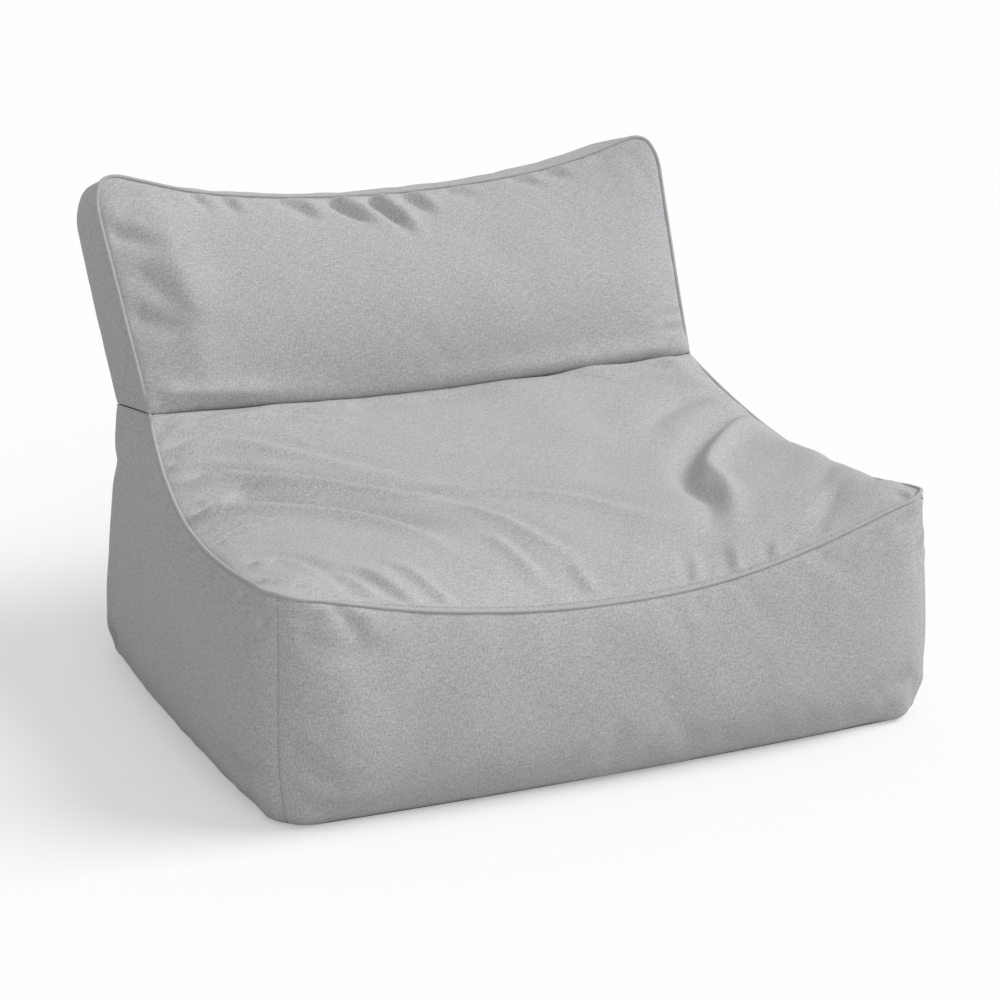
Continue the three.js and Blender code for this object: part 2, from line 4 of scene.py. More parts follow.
import bpy
import numpy as np
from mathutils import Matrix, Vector


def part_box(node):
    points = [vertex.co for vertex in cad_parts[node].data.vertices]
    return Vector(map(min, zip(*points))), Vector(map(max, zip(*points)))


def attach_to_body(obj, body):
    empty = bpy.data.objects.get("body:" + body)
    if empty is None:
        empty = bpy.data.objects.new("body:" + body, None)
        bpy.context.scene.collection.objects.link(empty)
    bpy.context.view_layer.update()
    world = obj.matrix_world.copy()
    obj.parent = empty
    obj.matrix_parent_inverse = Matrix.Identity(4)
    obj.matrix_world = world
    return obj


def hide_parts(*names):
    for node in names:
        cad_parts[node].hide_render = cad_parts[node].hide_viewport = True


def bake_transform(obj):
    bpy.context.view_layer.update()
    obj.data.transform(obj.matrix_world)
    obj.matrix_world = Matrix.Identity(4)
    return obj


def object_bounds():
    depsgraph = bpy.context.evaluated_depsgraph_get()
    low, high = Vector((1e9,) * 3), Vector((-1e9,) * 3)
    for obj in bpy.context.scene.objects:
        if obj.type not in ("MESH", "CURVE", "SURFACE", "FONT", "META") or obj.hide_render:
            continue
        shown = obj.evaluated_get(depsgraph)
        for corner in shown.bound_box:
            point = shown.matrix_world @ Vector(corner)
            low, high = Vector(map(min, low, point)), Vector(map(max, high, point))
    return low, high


# Bean bag chair: two boxed bags of grey cloth, piped along their front seams.
# Metres, +Z up, the sitter faces -Y.
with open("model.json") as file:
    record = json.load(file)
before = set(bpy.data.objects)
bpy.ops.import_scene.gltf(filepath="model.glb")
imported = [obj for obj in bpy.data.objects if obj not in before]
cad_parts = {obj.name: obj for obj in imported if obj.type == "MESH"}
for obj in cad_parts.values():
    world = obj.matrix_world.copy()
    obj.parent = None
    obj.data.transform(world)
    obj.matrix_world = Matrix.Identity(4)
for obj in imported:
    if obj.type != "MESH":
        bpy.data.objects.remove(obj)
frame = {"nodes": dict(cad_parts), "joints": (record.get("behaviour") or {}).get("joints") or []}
frameLow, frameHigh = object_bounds()
leanPoint = Vector(next(j for j in frame["joints"] if j["name"] == "backrest_lean")["pos_m"])
scene = bpy.context.scene
print("frame loaded,", len(frame["nodes"]), "pieces")


# Small tools for grids of points, [row, column, xyz].

def point(x, y, z):
    return np.stack(np.broadcast_arrays(x, y, z), axis=-1).astype(float)


def mix(a, b, share):
    return a + (b - a) * share


def mixPoints(a, b, share):
    return a + (b - a) * np.asarray(share)[..., None]


def arch(t):
    return 1 - t * t


def swell(s, place, sharpness):
    return np.sin(np.pi * np.clip(s, 0, 1) ** place).clip(0) ** sharpness


def smooth(low, high, x):
    s = np.clip((np.asarray(x, float) - low) / (high - low), 0, 1)
    return s * s * (3 - 2 * s)


def unit(v):
    return v / np.maximum(np.linalg.norm(v, axis=-1, keepdims=True), 1e-12)


# shape(column, row) gives the points.
def gridOf(shape, rows, columns):
    c, r = np.meshgrid(columns, rows)
    return shape(c, r)


def normalsOf(grid):
    alongRow = np.gradient(grid, axis=1)
    upColumn = np.gradient(grid, axis=0)
    made = unit(np.cross(alongRow, upColumn))
    lastRow, lastColumn = made.shape[0] - 1, made.shape[1] - 1
    # corners take the direction one step in
    made[::lastRow, ::lastColumn] = made[1:-1:lastRow - 2, 1:-1:lastColumn - 2]
    return made


# Cubic interpolation of the grid at places from 0 to 1 along one axis.
def resampleAxis(grid, places, axis):
    grid = np.moveaxis(grid, axis, 0)
    last = grid.shape[0] - 1
    at = np.clip(np.asarray(places) * last, 0, last)
    low = np.minimum(at.astype(int), last - 1)
    f = (at - low).reshape(-1, *[1] * (grid.ndim - 1))
    p1, p2 = grid[low], grid[low + 1]
    p0 = np.where((low == 0).reshape(f.shape), 2 * p1 - p2, grid[np.maximum(low - 1, 0)])
    p3 = np.where((low == last - 1).reshape(f.shape), 2 * p2 - p1, grid[np.minimum(low + 2, last)])
    made = 0.5 * (2 * p1 + (p2 - p0) * f + (2 * p0 - 5 * p1 + 4 * p2 - p3) * f ** 2
                  + (3 * p1 - p0 - 3 * p2 + p3) * f ** 3)
    return np.moveaxis(made, 0, axis)


def resample(grid, rows, columns):
    return resampleAxis(resampleAxis(grid, rows, 0), columns, 1)


noiseShape = {"cells": 96, "start": 40.5}


# Smooth noise from -1 to 1 over a plane, with lumps of about the given size.
def softNoise(u, v, size, seed):
    cells = noiseShape["cells"]
    lattice = np.random.default_rng(seed).uniform(-1, 1, (cells + 1, cells + 1))
    x, y = u / size + noiseShape["start"], v / size + noiseShape["start"]
    i, j = np.floor(x).astype(int), np.floor(y).astype(int)
    fx, fy = smooth(0, 1, x - i), smooth(0, 1, y - j)
    i, j = i % cells, j % cells
    low = mix(lattice[i, j], lattice[i + 1, j], fx)
    high = mix(lattice[i, j + 1], lattice[i + 1, j + 1], fx)
    return mix(low, high, fy)


# The seat bag's shape, in metres. The crease is at y = 0; t runs from -1 to 1 across the chair,
# share and level from 0 to 1 towards the crease and up.

seatShape = {
    "width": 0.932, "depth": 0.606, "cornerHeight": 0.312, "frontSag": 0.072, "frontBow": 0.020,
    "sideLowHeight": 0.288, "sideLowPlace": 0.43, "creaseWidth": 0.848, "creaseHeight": 0.376,
    "creaseDrop": 0.012, "crown": 0.056, "rearWidth": 0.880, "rearDepth": 0.107,
    "rearHeight": 0.368, "rearBow": 0.085, "rearDrop": 0.022, "rearFlat": 0.67,
    "baseWidth": 0.910, "baseFrontInset": 0.008, "baseFrontBow": 0.014, "baseRearInset": 0.008,
    "baseRearBow": 0.062, "baseSideBow": 0.006, "wallBelly": 0.033, "cornerBelly": 0.016,
    "bellyPlace": 0.5, "crownPlace": 0.85, "swellSharpness": 0.8,
    "topCornerRound": 0.040, "baseCornerRound": 0.044, "cornerReach": 2.5, "cornerDip": 0.007,
    "leftCornerLift": 0.014, "leftLiftStart": 0.2, "leftLiftReach": 0.6, "cell": 0.0100,
}


# How a corner's points move in along both edges; a and b are distances from the corner.
def roundedCorner(a, b, radius):
    def slide(d):
        angle = np.pi / 4 * np.clip(1 - d / radius, 0, 1)
        return np.where(d < radius, radius - radius * np.sin(angle) - d, 0)

    def sink(d):
        angle = np.pi / 4 * np.clip(1 - d / radius, 0, 1)
        return radius - radius * np.cos(angle)

    def fade(d):
        return np.clip(1 - d / (seatShape["cornerReach"] * radius), 0, 1) ** 2

    corner = radius * (1 - math.sqrt(0.5))
    first = slide(a) * fade(b) + sink(b) * fade(a) - corner * fade(a) * fade(b)
    second = slide(b) * fade(a) + sink(a) * fade(b) - corner * fade(a) * fade(b)
    return first, second


def flatArch(t):
    past = np.maximum(0, np.abs(t) - seatShape["rearFlat"]) / (1 - seatShape["rearFlat"])
    return 1 - past * past


def leftLift(t, share):
    s = seatShape
    fade = np.clip(1 - share / s["leftLiftReach"], 0, 1) ** 2
    return s["leftCornerLift"] * smooth(s["leftLiftStart"], 1, t) * fade


def cornerDip(away):
    return seatShape["cornerDip"] * np.exp(-(away / seatShape["topCornerRound"]) ** 2)


def frontSeam(t):
    s = seatShape
    away = (1 - np.abs(t)) * s["width"] / 2
    inX, inY = roundedCorner(away, 0 * away, s["topCornerRound"])
    return point(t * s["width"] / 2 - np.sign(t) * inX, -s["depth"] - s["frontBow"] * arch(t) + inY,
                 s["cornerHeight"] - s["frontSag"] * arch(t) + leftLift(t, 0 * t) - cornerDip(away))


def sideSeam(side, share):
    s = seatShape
    near = np.maximum(0, s["sideLowPlace"] - share) / s["sideLowPlace"]
    far = np.maximum(0, share - s["sideLowPlace"]) / (1 - s["sideLowPlace"])
    z = s["sideLowHeight"] + (s["cornerHeight"] - s["sideLowHeight"]) * near ** 2
    z = z + (s["creaseHeight"] - s["sideLowHeight"]) * far ** 2
    inY, inX = roundedCorner(share * s["depth"], 0 * share, s["topCornerRound"])
    half = mix(s["width"], s["creaseWidth"], share ** 3) / 2
    z = z + leftLift(side, share) - cornerDip(share * s["depth"])
    return point(side * (half - inX), -s["depth"] * (1 - share) + inY, z)


def creaseLine(t):
    return point(t * seatShape["creaseWidth"] / 2, 0,
                 seatShape["creaseHeight"] - seatShape["creaseDrop"] * arch(t))


def rearSeam(t):
    s = seatShape
    return point(t * s["rearWidth"] / 2, s["rearDepth"] + s["rearBow"] * flatArch(t),
                 s["rearHeight"] - s["rearDrop"] * flatArch(t))


def sittingSurface(t, share):
    side = (t + 1) / 2
    lengthwise = mixPoints(frontSeam(t), creaseLine(t), share)
    sideways = mixPoints(sideSeam(-1 + 0 * share, share), sideSeam(1 + 0 * share, share), side)
    front = mixPoints(frontSeam(-1 + 0 * t), frontSeam(1 + 0 * t), side)
    rear = mixPoints(creaseLine(-1 + 0 * t), creaseLine(1 + 0 * t), side)
    made = lengthwise + sideways - mixPoints(front, rear, share)
    s = seatShape
    lengthSwell = swell(share, s["crownPlace"], s["swellSharpness"])
    made[..., 2] += s["crown"] * arch(t).clip(0) ** s["swellSharpness"] * lengthSwell
    return made


def underSide(t, rear):
    s = seatShape
    frontEdge = -s["depth"] + s["baseFrontInset"] - s["baseFrontBow"] * arch(t)
    rearEdge = s["rearDepth"] - s["baseRearInset"] + s["baseRearBow"] * flatArch(t)
    half = s["baseWidth"] / 2 + s["baseSideBow"] * arch(2 * rear - 1)
    made = point(t * half, mix(frontEdge, rearEdge, rear), 0)
    away = (1 - np.abs(t)) * half
    length = s["depth"] + s["rearDepth"]
    for end, sign in ((rear * length, 1), ((1 - rear) * length, -1)):
        inX, inY = roundedCorner(away, end, s["baseCornerRound"])
        made[..., 0] -= np.sign(t) * inX
        made[..., 1] += sign * inY
    return made


def wall(foot, top, outward, along, t, level, middle):
    s = seatShape
    rise = swell(level, s["bellyPlace"], s["swellSharpness"])
    out = mix(s["cornerBelly"], s["wallBelly"], middle) * rise
    return (mixPoints(foot, top, level) + out[..., None] * np.array(outward)
            + (s["cornerBelly"] * rise * t)[..., None] * np.array(along))


def frontWall(t, level):
    return wall(underSide(t, 0 * t), frontSeam(t), (0, -1, 0), (1, 0, 0), t, level, arch(t ** 2))


def rearWall(t, level):
    return wall(underSide(t, 0 * t + 1), rearSeam(t), (0, 1, 0), (1, 0, 0), t, level, flatArch(t))


def sideWall(side, rear, level):
    s = seatShape
    depth = rear * (s["depth"] + s["rearDepth"])
    share = np.minimum(depth / s["depth"], 1)
    behind = np.clip((depth - s["depth"]) / s["rearDepth"], 0, 1)
    top = mixPoints(sideSeam(side + 0 * share, share), rearSeam(side + 0 * share), behind)
    t = 2 * rear - 1
    foot = underSide(side + 0 * rear, rear)
    return wall(foot, top, (side, 0, 0), (0, 1, 0), t, level, arch(t ** 2))


def dividerSurface(t, behind):
    return mixPoints(creaseLine(t), rearSeam(t), behind)


# The backrest bag's shape, in metres, from the crease up.

backShape = {
    "topWidth": 0.896, "rise": 0.303, "lean": 0.168, "topSag": 0.052, "thickness": 0.120,
    "rearDrop": 0.028, "frontCrown": 0.046, "rearCrown": 0.034, "gussetBulge": 0.009,
    "rearSagStart": 0.45, "cornerRound": 0.048, "rearRound": 0.072, "cornerTilt": 0.4,
    "earRise": 0.013, "earPlace": 0.95, "earWidth": 0.22, "earFade": 5, "crownPlace": 0.8,
    "swellSharpness": 0.8, "gussetStretch": 1.3, "footGap": 0.0009, "cell": 0.0085,
}


# The stuffed top corners stand up a little beside the rounding.
def ears(t, level):
    b = backShape
    away = (np.abs(t) - b["earPlace"]) / b["earWidth"]
    return b["earRise"] * np.exp(-away ** 2) * level ** b["earFade"]


def roundedTop(made, t, level, radius):
    b = backShape
    inX, inZ = roundedCorner((1 - np.abs(t)) * b["topWidth"] / 2, (1 - level) * b["rise"], radius)
    made[..., 0] -= np.sign(t) * inX
    made[..., 1] -= inZ * b["cornerTilt"]
    made[..., 2] += ears(t, level) - inZ
    return made


def backFront(t, level):
    b, s = backShape, seatShape
    foot = creaseLine(t) + point(0, 0, b["footGap"])
    top = point(t * b["topWidth"] / 2, b["lean"],
                s["creaseHeight"] + b["rise"] - b["topSag"] * arch(t))
    made = mixPoints(foot, top, level)
    crown = b["frontCrown"] * arch(t).clip(0) ** b["swellSharpness"]
    crown = crown * swell(level, b["crownPlace"], b["swellSharpness"])
    made[..., 1] -= crown
    made[..., 2] += crown * b["lean"] / b["rise"]
    return roundedTop(made, t, level, b["cornerRound"])


def backRear(t, level):
    b, s = backShape, seatShape
    foot = rearSeam(t) + point(0, 0, b["footGap"])
    sag = np.maximum(0, level - b["rearSagStart"]) / (1 - b["rearSagStart"])
    top = point(t * b["topWidth"] / 2, b["lean"] + b["thickness"],
                s["creaseHeight"] + b["rise"] - b["rearDrop"] - b["topSag"] * arch(t) * sag)
    made = mixPoints(foot, top, level)
    rise = swell(level, b["crownPlace"], b["swellSharpness"])
    made[..., 1] += b["rearCrown"] * flatArch(t) * rise
    return roundedTop(made, t, level, b["rearRound"])


def gusset(front, rear, outward, share):
    made = mixPoints(front, rear, share)
    return made + outward * (backShape["gussetBulge"] * arch(2 * share - 1))[..., None]


def sideGusset(side, share, level):
    t = side + 0 * share
    outward = point(side * np.minimum(1, 4 * level * (1 - level)), 0, 0)
    return gusset(backFront(t, level), backRear(t, level), outward, share)


def topGusset(t, share):
    level = 1 + 0 * t
    return gusset(backFront(t, level), backRear(t, level), point(0, 0, arch(t ** 2)), share)


def backFoot(t, share):
    return mixPoints(creaseLine(t), rearSeam(t), share) + point(0, 0, backShape["footGap"])


# Sewing the grids into one closed bag, and blowing it up as cloth.
def evenSteps(length, cell):
    return np.linspace(0, 1, max(3, round(length / cell)) + 1)


def seatGrids():
    s = seatShape
    t = 2 * evenSteps(s["width"], s["cell"]) - 1
    share = evenSteps(s["depth"], s["cell"])
    behind = evenSteps(s["rearDepth"], s["cell"])
    level = evenSteps(s["creaseHeight"], s["cell"])
    rear = np.concatenate([share * s["depth"], s["depth"] + behind[1:] * s["rearDepth"]])
    rear = rear / (s["depth"] + s["rearDepth"])
    return {
        "top": gridOf(sittingSurface, share, t),
        "divider": gridOf(dividerSurface, behind, t),
        "front": gridOf(frontWall, level, t),
        "rear": gridOf(rearWall, level, t[::-1]),
        "left": gridOf(lambda c, r: sideWall(1, c, r), level, rear),
        "right": gridOf(lambda c, r: sideWall(-1, c, r), level, rear[::-1]),
        "base": gridOf(underSide, rear[::-1], t),
    }


def backGrids():
    b = backShape
    t = 2 * evenSteps(b["topWidth"], b["cell"]) - 1
    level = evenSteps(math.hypot(b["rise"], b["lean"]), b["cell"])
    share = evenSteps(b["thickness"] * b["gussetStretch"], b["cell"])
    return {
        "front": gridOf(backFront, level, t),
        "rear": gridOf(backRear, level, t[::-1]),
        "left": gridOf(lambda c, r: sideGusset(1, c, r), level, share),
        "right": gridOf(lambda c, r: sideGusset(-1, c, r), level, share[::-1]),
        "top": gridOf(topGusset, share, t),
        "foot": gridOf(backFoot, share[::-1], t),
    }


# One list of points for all grids, with shared seam points, and each grid's numbers in it.
def sewn(grids):
    numbers, points, places = {}, [], {}
    for name, grid in grids.items():
        numbers[name] = np.zeros(grid.shape[:2], int)
        for r, c in np.ndindex(grid.shape[:2]):
            key = tuple(np.round(grid[r, c], 5))
            if key not in places:
                places[key] = len(points)
                points.append(grid[r, c])
            numbers[name][r, c] = places[key]
    return np.array(points), numbers


def cellsOf(numbers):
    a, b = numbers[:-1, :-1], numbers[:-1, 1:]
    d, e = numbers[1:, :-1], numbers[1:, 1:]
    return np.stack([a, b, e, d], -1).reshape(-1, 4)


def rimOf(number):
    return np.concatenate([number[0], number[-1], number[:, 0], number[:, -1]])


# Evens out values on a mesh by averaging over neighbouring faces.
def eased(values, faces, passes):
    count = np.bincount(faces.ravel(), minlength=len(values))[:, None]
    for _ in range(passes):
        total = np.zeros_like(values)
        np.add.at(total, faces, values[faces].mean(1)[:, None])
        values = total / count
    return values


def newPiece(name, points, faces):
    mesh = bpy.data.meshes.new(name)
    mesh.from_pydata(points, [], faces)
    mesh.polygons.foreach_set("use_smooth", [True] * len(mesh.polygons))
    piece = bpy.data.objects.new(name, mesh)
    scene.collection.objects.link(piece)
    return piece


# Simulates the whole bag as cloth with beads pressing from inside. Seams are held.
def blownUp(name, grids, cloth):
    points, numbers = sewn(grids)
    faces = np.concatenate([cellsOf(n) for n in numbers.values()])
    bag = newPiece(name, points.tolist(), faces.tolist())
    held = set()
    for part in cloth["heldParts"]:
        held.update(numbers[part].ravel().tolist())
    for part in cloth["heldRims"]:
        held.update(rimOf(numbers[part]).tolist())
    bag.vertex_groups.new(name="held").add(sorted(held), 1.0, "REPLACE")
    settings = bag.modifiers.new("cloth", "CLOTH").settings
    settings.quality = cloth["quality"]
    settings.mass = cloth["mass"]
    settings.tension_stiffness = cloth["tension"]
    settings.compression_stiffness = cloth["compression"]
    settings.shear_stiffness = cloth["shear"]
    settings.bending_stiffness = cloth["bending"]
    settings.vertex_group_mass = "held"
    settings.use_pressure = True
    settings.uniform_pressure_force = cloth["pressure"]
    settings.shrink_min = cloth["shrink"]
    settings.effector_weights.gravity = 0
    for number in range(1, cloth["frames"] + 1):
        scene.frame_set(number)
    graph = bpy.context.evaluated_depsgraph_get()
    shown = bag.evaluated_get(graph).to_mesh()
    after = np.zeros(len(points) * 3)
    shown.vertices.foreach_get("co", after)
    move = after.reshape(-1, 3) - points
    length = np.linalg.norm(move, axis=1, keepdims=True)
    move *= cloth["cap"] * np.tanh(length / cloth["cap"]) / np.maximum(length, 1e-9)
    still = np.ones((len(points), 1))
    still[sorted(held)] = 0
    for number in numbers.values():
        for corner in points[number[::number.shape[0] - 1, ::number.shape[1] - 1].ravel()]:
            away = np.linalg.norm(points - corner, axis=1, keepdims=True)
            still = np.minimum(still, smooth(cloth["cornerStill"], cloth["cornerFree"], away))
    move = eased(move, faces, cloth["easing"]) * still
    print(name, "cloth moved by", round(float(length.mean() * 1000), 1), "mm, most",
          round(float(length.max() * 1000), 1))
    bpy.data.objects.remove(bag)
    scene.frame_set(1)
    return {part: (points + move)[number] for part, number in numbers.items()}


seatCloth = {"quality": 5, "mass": 0.35, "tension": 25, "compression": 25, "shear": 8,
             "bending": 1.2, "pressure": 4, "shrink": -0.008, "frames": 20, "easing": 1,
             "cap": 0.012, "cornerStill": 0.005, "cornerFree": 0.06,
             "heldParts": ("base", "divider"), "heldRims": ("top",)}
backCloth = {**seatCloth, "bending": 3, "shrink": -0.002, "cap": 0.010, "heldParts": ("foot",),
             "heldRims": ("front", "rear")}


# Outward directions that neighbouring panels share along their seams.
def sharedNormals(grids):
    points, numbers = sewn(grids)
    total = np.zeros_like(points)
    for part, number in numbers.items():
        np.add.at(total, number, normalsOf(grids[part]))
    total = unit(total)
    return {part: total[number] for part, number in numbers.items()}


seatBag = blownUp("seatBag", seatGrids(), seatCloth)
backBag = blownUp("backBag", backGrids(), backCloth)
bags = {"seat": seatBag, "back": backBag}
seamNormals = {bag: sharedNormals(grids) for bag, grids in bags.items()}
print("bags sewn and filled")


# Folds drawn on a panel: (depth mm, width mm, rim, places). Places are (across -1 to 1,
# up 0 to 1), from the seam where the fold starts. A depth below 0 is a valley. rim raises the
# cloth beside it, on the left where it is over 0 and on the right where it is under 0.
foldShape = {"gain": 1.9, "samples": 90, "sharpness": 1.6, "rimPlace": 1.7, "rimWidth": 1.1,
             "reach": 5, "startFade": (-0.05, 0.12), "endFade": 0.5}
seatTopFolds = [
    (4, 10, 0.8, [(-0.99, 0.92), (-0.82, 0.935), (-0.60, 0.93), (-0.40, 0.89), (-0.22, 0.86)]),
    (4, 14, 0.6, [(-0.98, 0.87), (-0.77, 0.85), (-0.60, 0.76), (-0.41, 0.64), (-0.30, 0.56)]),
    (2.5, 8, 0.6, [(-0.98, 0.81), (-0.86, 0.80), (-0.74, 0.76)]),
    (6, 12, 0.7, [(-0.96, 0.74), (-0.82, 0.72), (-0.71, 0.67), (-0.57, 0.61), (-0.41, 0.53),
                  (-0.28, 0.45), (-0.20, 0.36)]),
    (-10, 26, 0, [(-0.86, 0.65), (-0.74, 0.59), (-0.56, 0.50), (-0.39, 0.38), (-0.26, 0.24)]),
    (3, 8, 0.4, [(-0.94, 0.65), (-0.82, 0.64), (-0.73, 0.62)]),
    (8, 15, 0.5, [(-0.98, 0.59), (-0.87, 0.57), (-0.76, 0.53), (-0.63, 0.46), (-0.49, 0.36),
                  (-0.42, 0.27), (-0.38, 0.13)]),
    (2, 6, 0.5, [(-0.96, 0.51), (-0.88, 0.52), (-0.80, 0.50)]),
    (2, 6, 0.5, [(-0.95, 0.47), (-0.87, 0.48), (-0.80, 0.47)]),
    (2.5, 6, 0.5, [(-0.95, 0.43), (-0.87, 0.44), (-0.77, 0.44)]),
    (3.5, 10, 0.5, [(-0.93, 0.24), (-0.86, 0.25), (-0.82, 0.20), (-0.78, 0.05)]),
    (-3, 4, -0.8, [(-0.97, 0.13), (-0.92, 0.13), (-0.87, 0.09)]),
    (2.5, 9, 0.5, [(-0.70, 0.03), (-0.74, 0.12), (-0.78, 0.19)]),
    (2.5, 9, 0.5, [(-0.60, 0.03), (-0.64, 0.12), (-0.69, 0.20)]),
    (2.5, 9, 0.5, [(-0.50, 0.03), (-0.54, 0.12), (-0.60, 0.22)]),
    (-9, 17, 0.2, [(0.94, 0.74), (0.70, 0.62), (0.54, 0.50), (0.45, 0.39), (0.44, 0.29),
                   (0.38, 0.19), (0.30, 0.10)]),
    (6, 15, 0, [(0.92, 0.70), (0.70, 0.56), (0.56, 0.44), (0.53, 0.33), (0.47, 0.22),
                (0.38, 0.10)]),
    (2, 34, 0, [(0.92, 0.09), (0.90, 0.12), (0.86, 0.18)]),
    (2, 32, 0, [(-0.92, 0.09), (-0.90, 0.12), (-0.86, 0.18)]),
    (5, 42, 0, [(0.90, 0.96), (0.90, 0.70), (0.89, 0.40), (0.87, 0.08)]),
    (5, 42, 0, [(0.87, 0.08), (0.89, 0.40), (0.90, 0.60)]),
    (-4, 18, 0.3, [(0.95, 0.83), (0.76, 0.79), (0.61, 0.72), (0.50, 0.60)]),
    (4, 16, 0.4, [(-0.30, 0.53), (-0.12, 0.47), (0.07, 0.38), (0.18, 0.28), (0.28, 0.17)]),
    (3.5, 12, 0.4, [(-0.25, 0.41), (-0.18, 0.31), (-0.13, 0.21), (-0.06, 0.10)]),
    (3, 10, 0.4, [(-0.26, 0.25), (-0.23, 0.14), (-0.20, 0.05)]),
    (2, 9, 0.4, [(-0.08, 0.03), (-0.09, 0.09), (-0.11, 0.15)]),
    (2, 8, 0.6, [(0.22, 0.01), (0.24, 0.06), (0.26, 0.11)]),
    (2, 8, 0.6, [(0.35, 0.01), (0.36, 0.06), (0.38, 0.10)]),
    (1.5, 8, 0.6, [(0.47, 0.01), (0.48, 0.05), (0.50, 0.09)]),
    (2, 7, 0.6, [(0.93, 0.02), (0.92, 0.06), (0.90, 0.10)]),
    (5, 13, 0, [(-0.97, 0.955), (-0.80, 0.957), (-0.62, 0.962), (-0.35, 0.968)]),
    (5, 13, 0, [(0.97, 0.962), (0.72, 0.965), (0.50, 0.965), (0.22, 0.955)]),
    (-6, 24, 0, [(-0.34, 0.955), (-0.1, 0.95), (0.1, 0.945), (0.28, 0.95)]),
]
backFrontFolds = [
    (-3, 8, 0.6, [(-0.67, 0.99), (-0.65, 0.95), (-0.61, 0.89)]),
    (-3.5, 9, 0.6, [(-0.57, 0.99), (-0.55, 0.94), (-0.52, 0.88)]),
    (-4.5, 9, 0.6, [(-0.38, 0.98), (-0.31, 0.93), (-0.26, 0.84)]),
    (-7, 9, 0.6, [(-0.21, 0.99), (-0.17, 0.93), (-0.12, 0.87), (-0.07, 0.79)]),
    (-7, 9, 0.6, [(-0.07, 0.99), (-0.03, 0.91), (0.01, 0.82), (0.03, 0.70)]),
    (-5, 9, 0.6, [(0.05, 0.99), (0.10, 0.92), (0.15, 0.82)]),
    (-3, 9, 0.6, [(0.20, 0.99), (0.26, 0.95), (0.33, 0.90)]),
    (-3.5, 8, 0.6, [(0.44, 0.99), (0.51, 0.95), (0.57, 0.90)]),
    (-3.5, 8, 0.6, [(0.54, 0.99), (0.61, 0.96), (0.69, 0.88)]),
    (-2.5, 5, 0.7, [(0.76, 0.985), (0.80, 0.975), (0.86, 0.965)]),
    (5, 40, 0, [(-0.82, 0.92), (-0.80, 0.70), (-0.78, 0.45), (-0.76, 0.25)]),
    (4, 36, 0, [(-0.80, 0.10), (-0.80, 0.30), (-0.81, 0.55), (-0.82, 0.75)]),
    (-4, 22, 0, [(-0.93, 0.62), (-0.88, 0.52), (-0.80, 0.40), (-0.70, 0.33)]),
    (-3, 13, 0.6, [(-0.98, 0.76), (-0.90, 0.73), (-0.80, 0.70)]),
    (-3.5, 18, 0.4, [(-0.98, 0.42), (-0.88, 0.36), (-0.74, 0.34)]),
    (6, 15, 0, [(-0.97, 0.085), (-0.80, 0.08), (-0.60, 0.065), (-0.30, 0.05)]),
    (3, 13, 0, [(0.97, 0.05), (0.60, 0.05), (0.20, 0.05), (-0.30, 0.05)]),
    (-2, 6, 0.7, [(0.98, 0.19), (0.92, 0.18), (0.86, 0.16)]),
    (-2, 6, 0.7, [(0.98, 0.12), (0.93, 0.12), (0.88, 0.10)]),
]
seatFrontFolds = [
    (3, 55, 0, [(-0.82, 0.95), (-0.82, 0.60), (-0.82, 0.20)]),
    (3, 55, 0, [(-0.82, 0.10), (-0.82, 0.40), (-0.82, 0.80)]),
    (-3, 14, 0.5, [(-0.84, 0.99), (-0.79, 0.90), (-0.73, 0.79)]),
    (-3, 22, 0.3, [(-0.95, 0.84), (-0.79, 0.80), (-0.64, 0.86)]),
    (-3, 14, 0.5, [(-0.97, 0.40), (-0.88, 0.26), (-0.80, 0.16)]),
    (-3, 12, 0.5, [(-0.97, 0.20), (-0.90, 0.12), (-0.84, 0.06)]),
    (-2, 5, 0.8, [(0.99, 0.86), (0.95, 0.83), (0.92, 0.80)]),
    (-2.5, 6, 0.8, [(0.99, 0.76), (0.96, 0.72), (0.93, 0.66)]),
    (-3, 18, 0.4, [(0.98, 0.14), (0.88, 0.20), (0.80, 0.18)]),
]
seatRightFolds = [
    (-1.5, 4, 0.8, [(-0.18, 0.985), (-0.24, 0.93), (-0.30, 0.88)]),
    (-1.5, 4, 0.8, [(0.10, 0.985), (0.04, 0.93), (-0.02, 0.89)]),
    (-1.5, 4, 0.8, [(0.33, 0.985), (0.27, 0.93), (0.20, 0.88)]),
    (-1.5, 4, 0.8, [(0.57, 0.985), (0.52, 0.93), (0.46, 0.89)]),
    (-1.5, 4, 0.8, [(0.80, 0.985), (0.76, 0.92), (0.71, 0.87)]),
    (-2.5, 8, 0.7, [(-0.28, 0.97), (-0.36, 0.88), (-0.44, 0.80)]),
    (-2.5, 8, 0.7, [(0.00, 0.98), (-0.10, 0.92), (-0.20, 0.85)]),
    (-2.5, 7, 0.7, [(0.20, 0.98), (0.12, 0.92), (0.04, 0.86)]),
    (-2.5, 8, 0.7, [(0.46, 0.98), (0.38, 0.90), (0.28, 0.82)]),
    (-2.5, 8, 0.7, [(0.70, 0.98), (0.60, 0.88), (0.52, 0.82)]),
    (-3, 12, 0.5, [(0.97, 0.90), (0.85, 0.76), (0.70, 0.62)]),
    (-3, 16, 0.4, [(0.96, 0.25), (0.80, 0.20), (0.62, 0.24)]),
    (-3, 12, 0.5, [(-0.9, 0.04), (-0.75, 0.14), (-0.6, 0.18)]),
]


def mirrored(folds):
    return [(depth, width, -rim, [(-x, y) for x, y in places])
            for depth, width, rim, places in folds]


panelFolds = {
    "seat": {"top": seatTopFolds, "front": seatFrontFolds, "right": seatRightFolds,
             "left": mirrored(seatRightFolds)},
    "back": {"front": backFrontFolds},
}


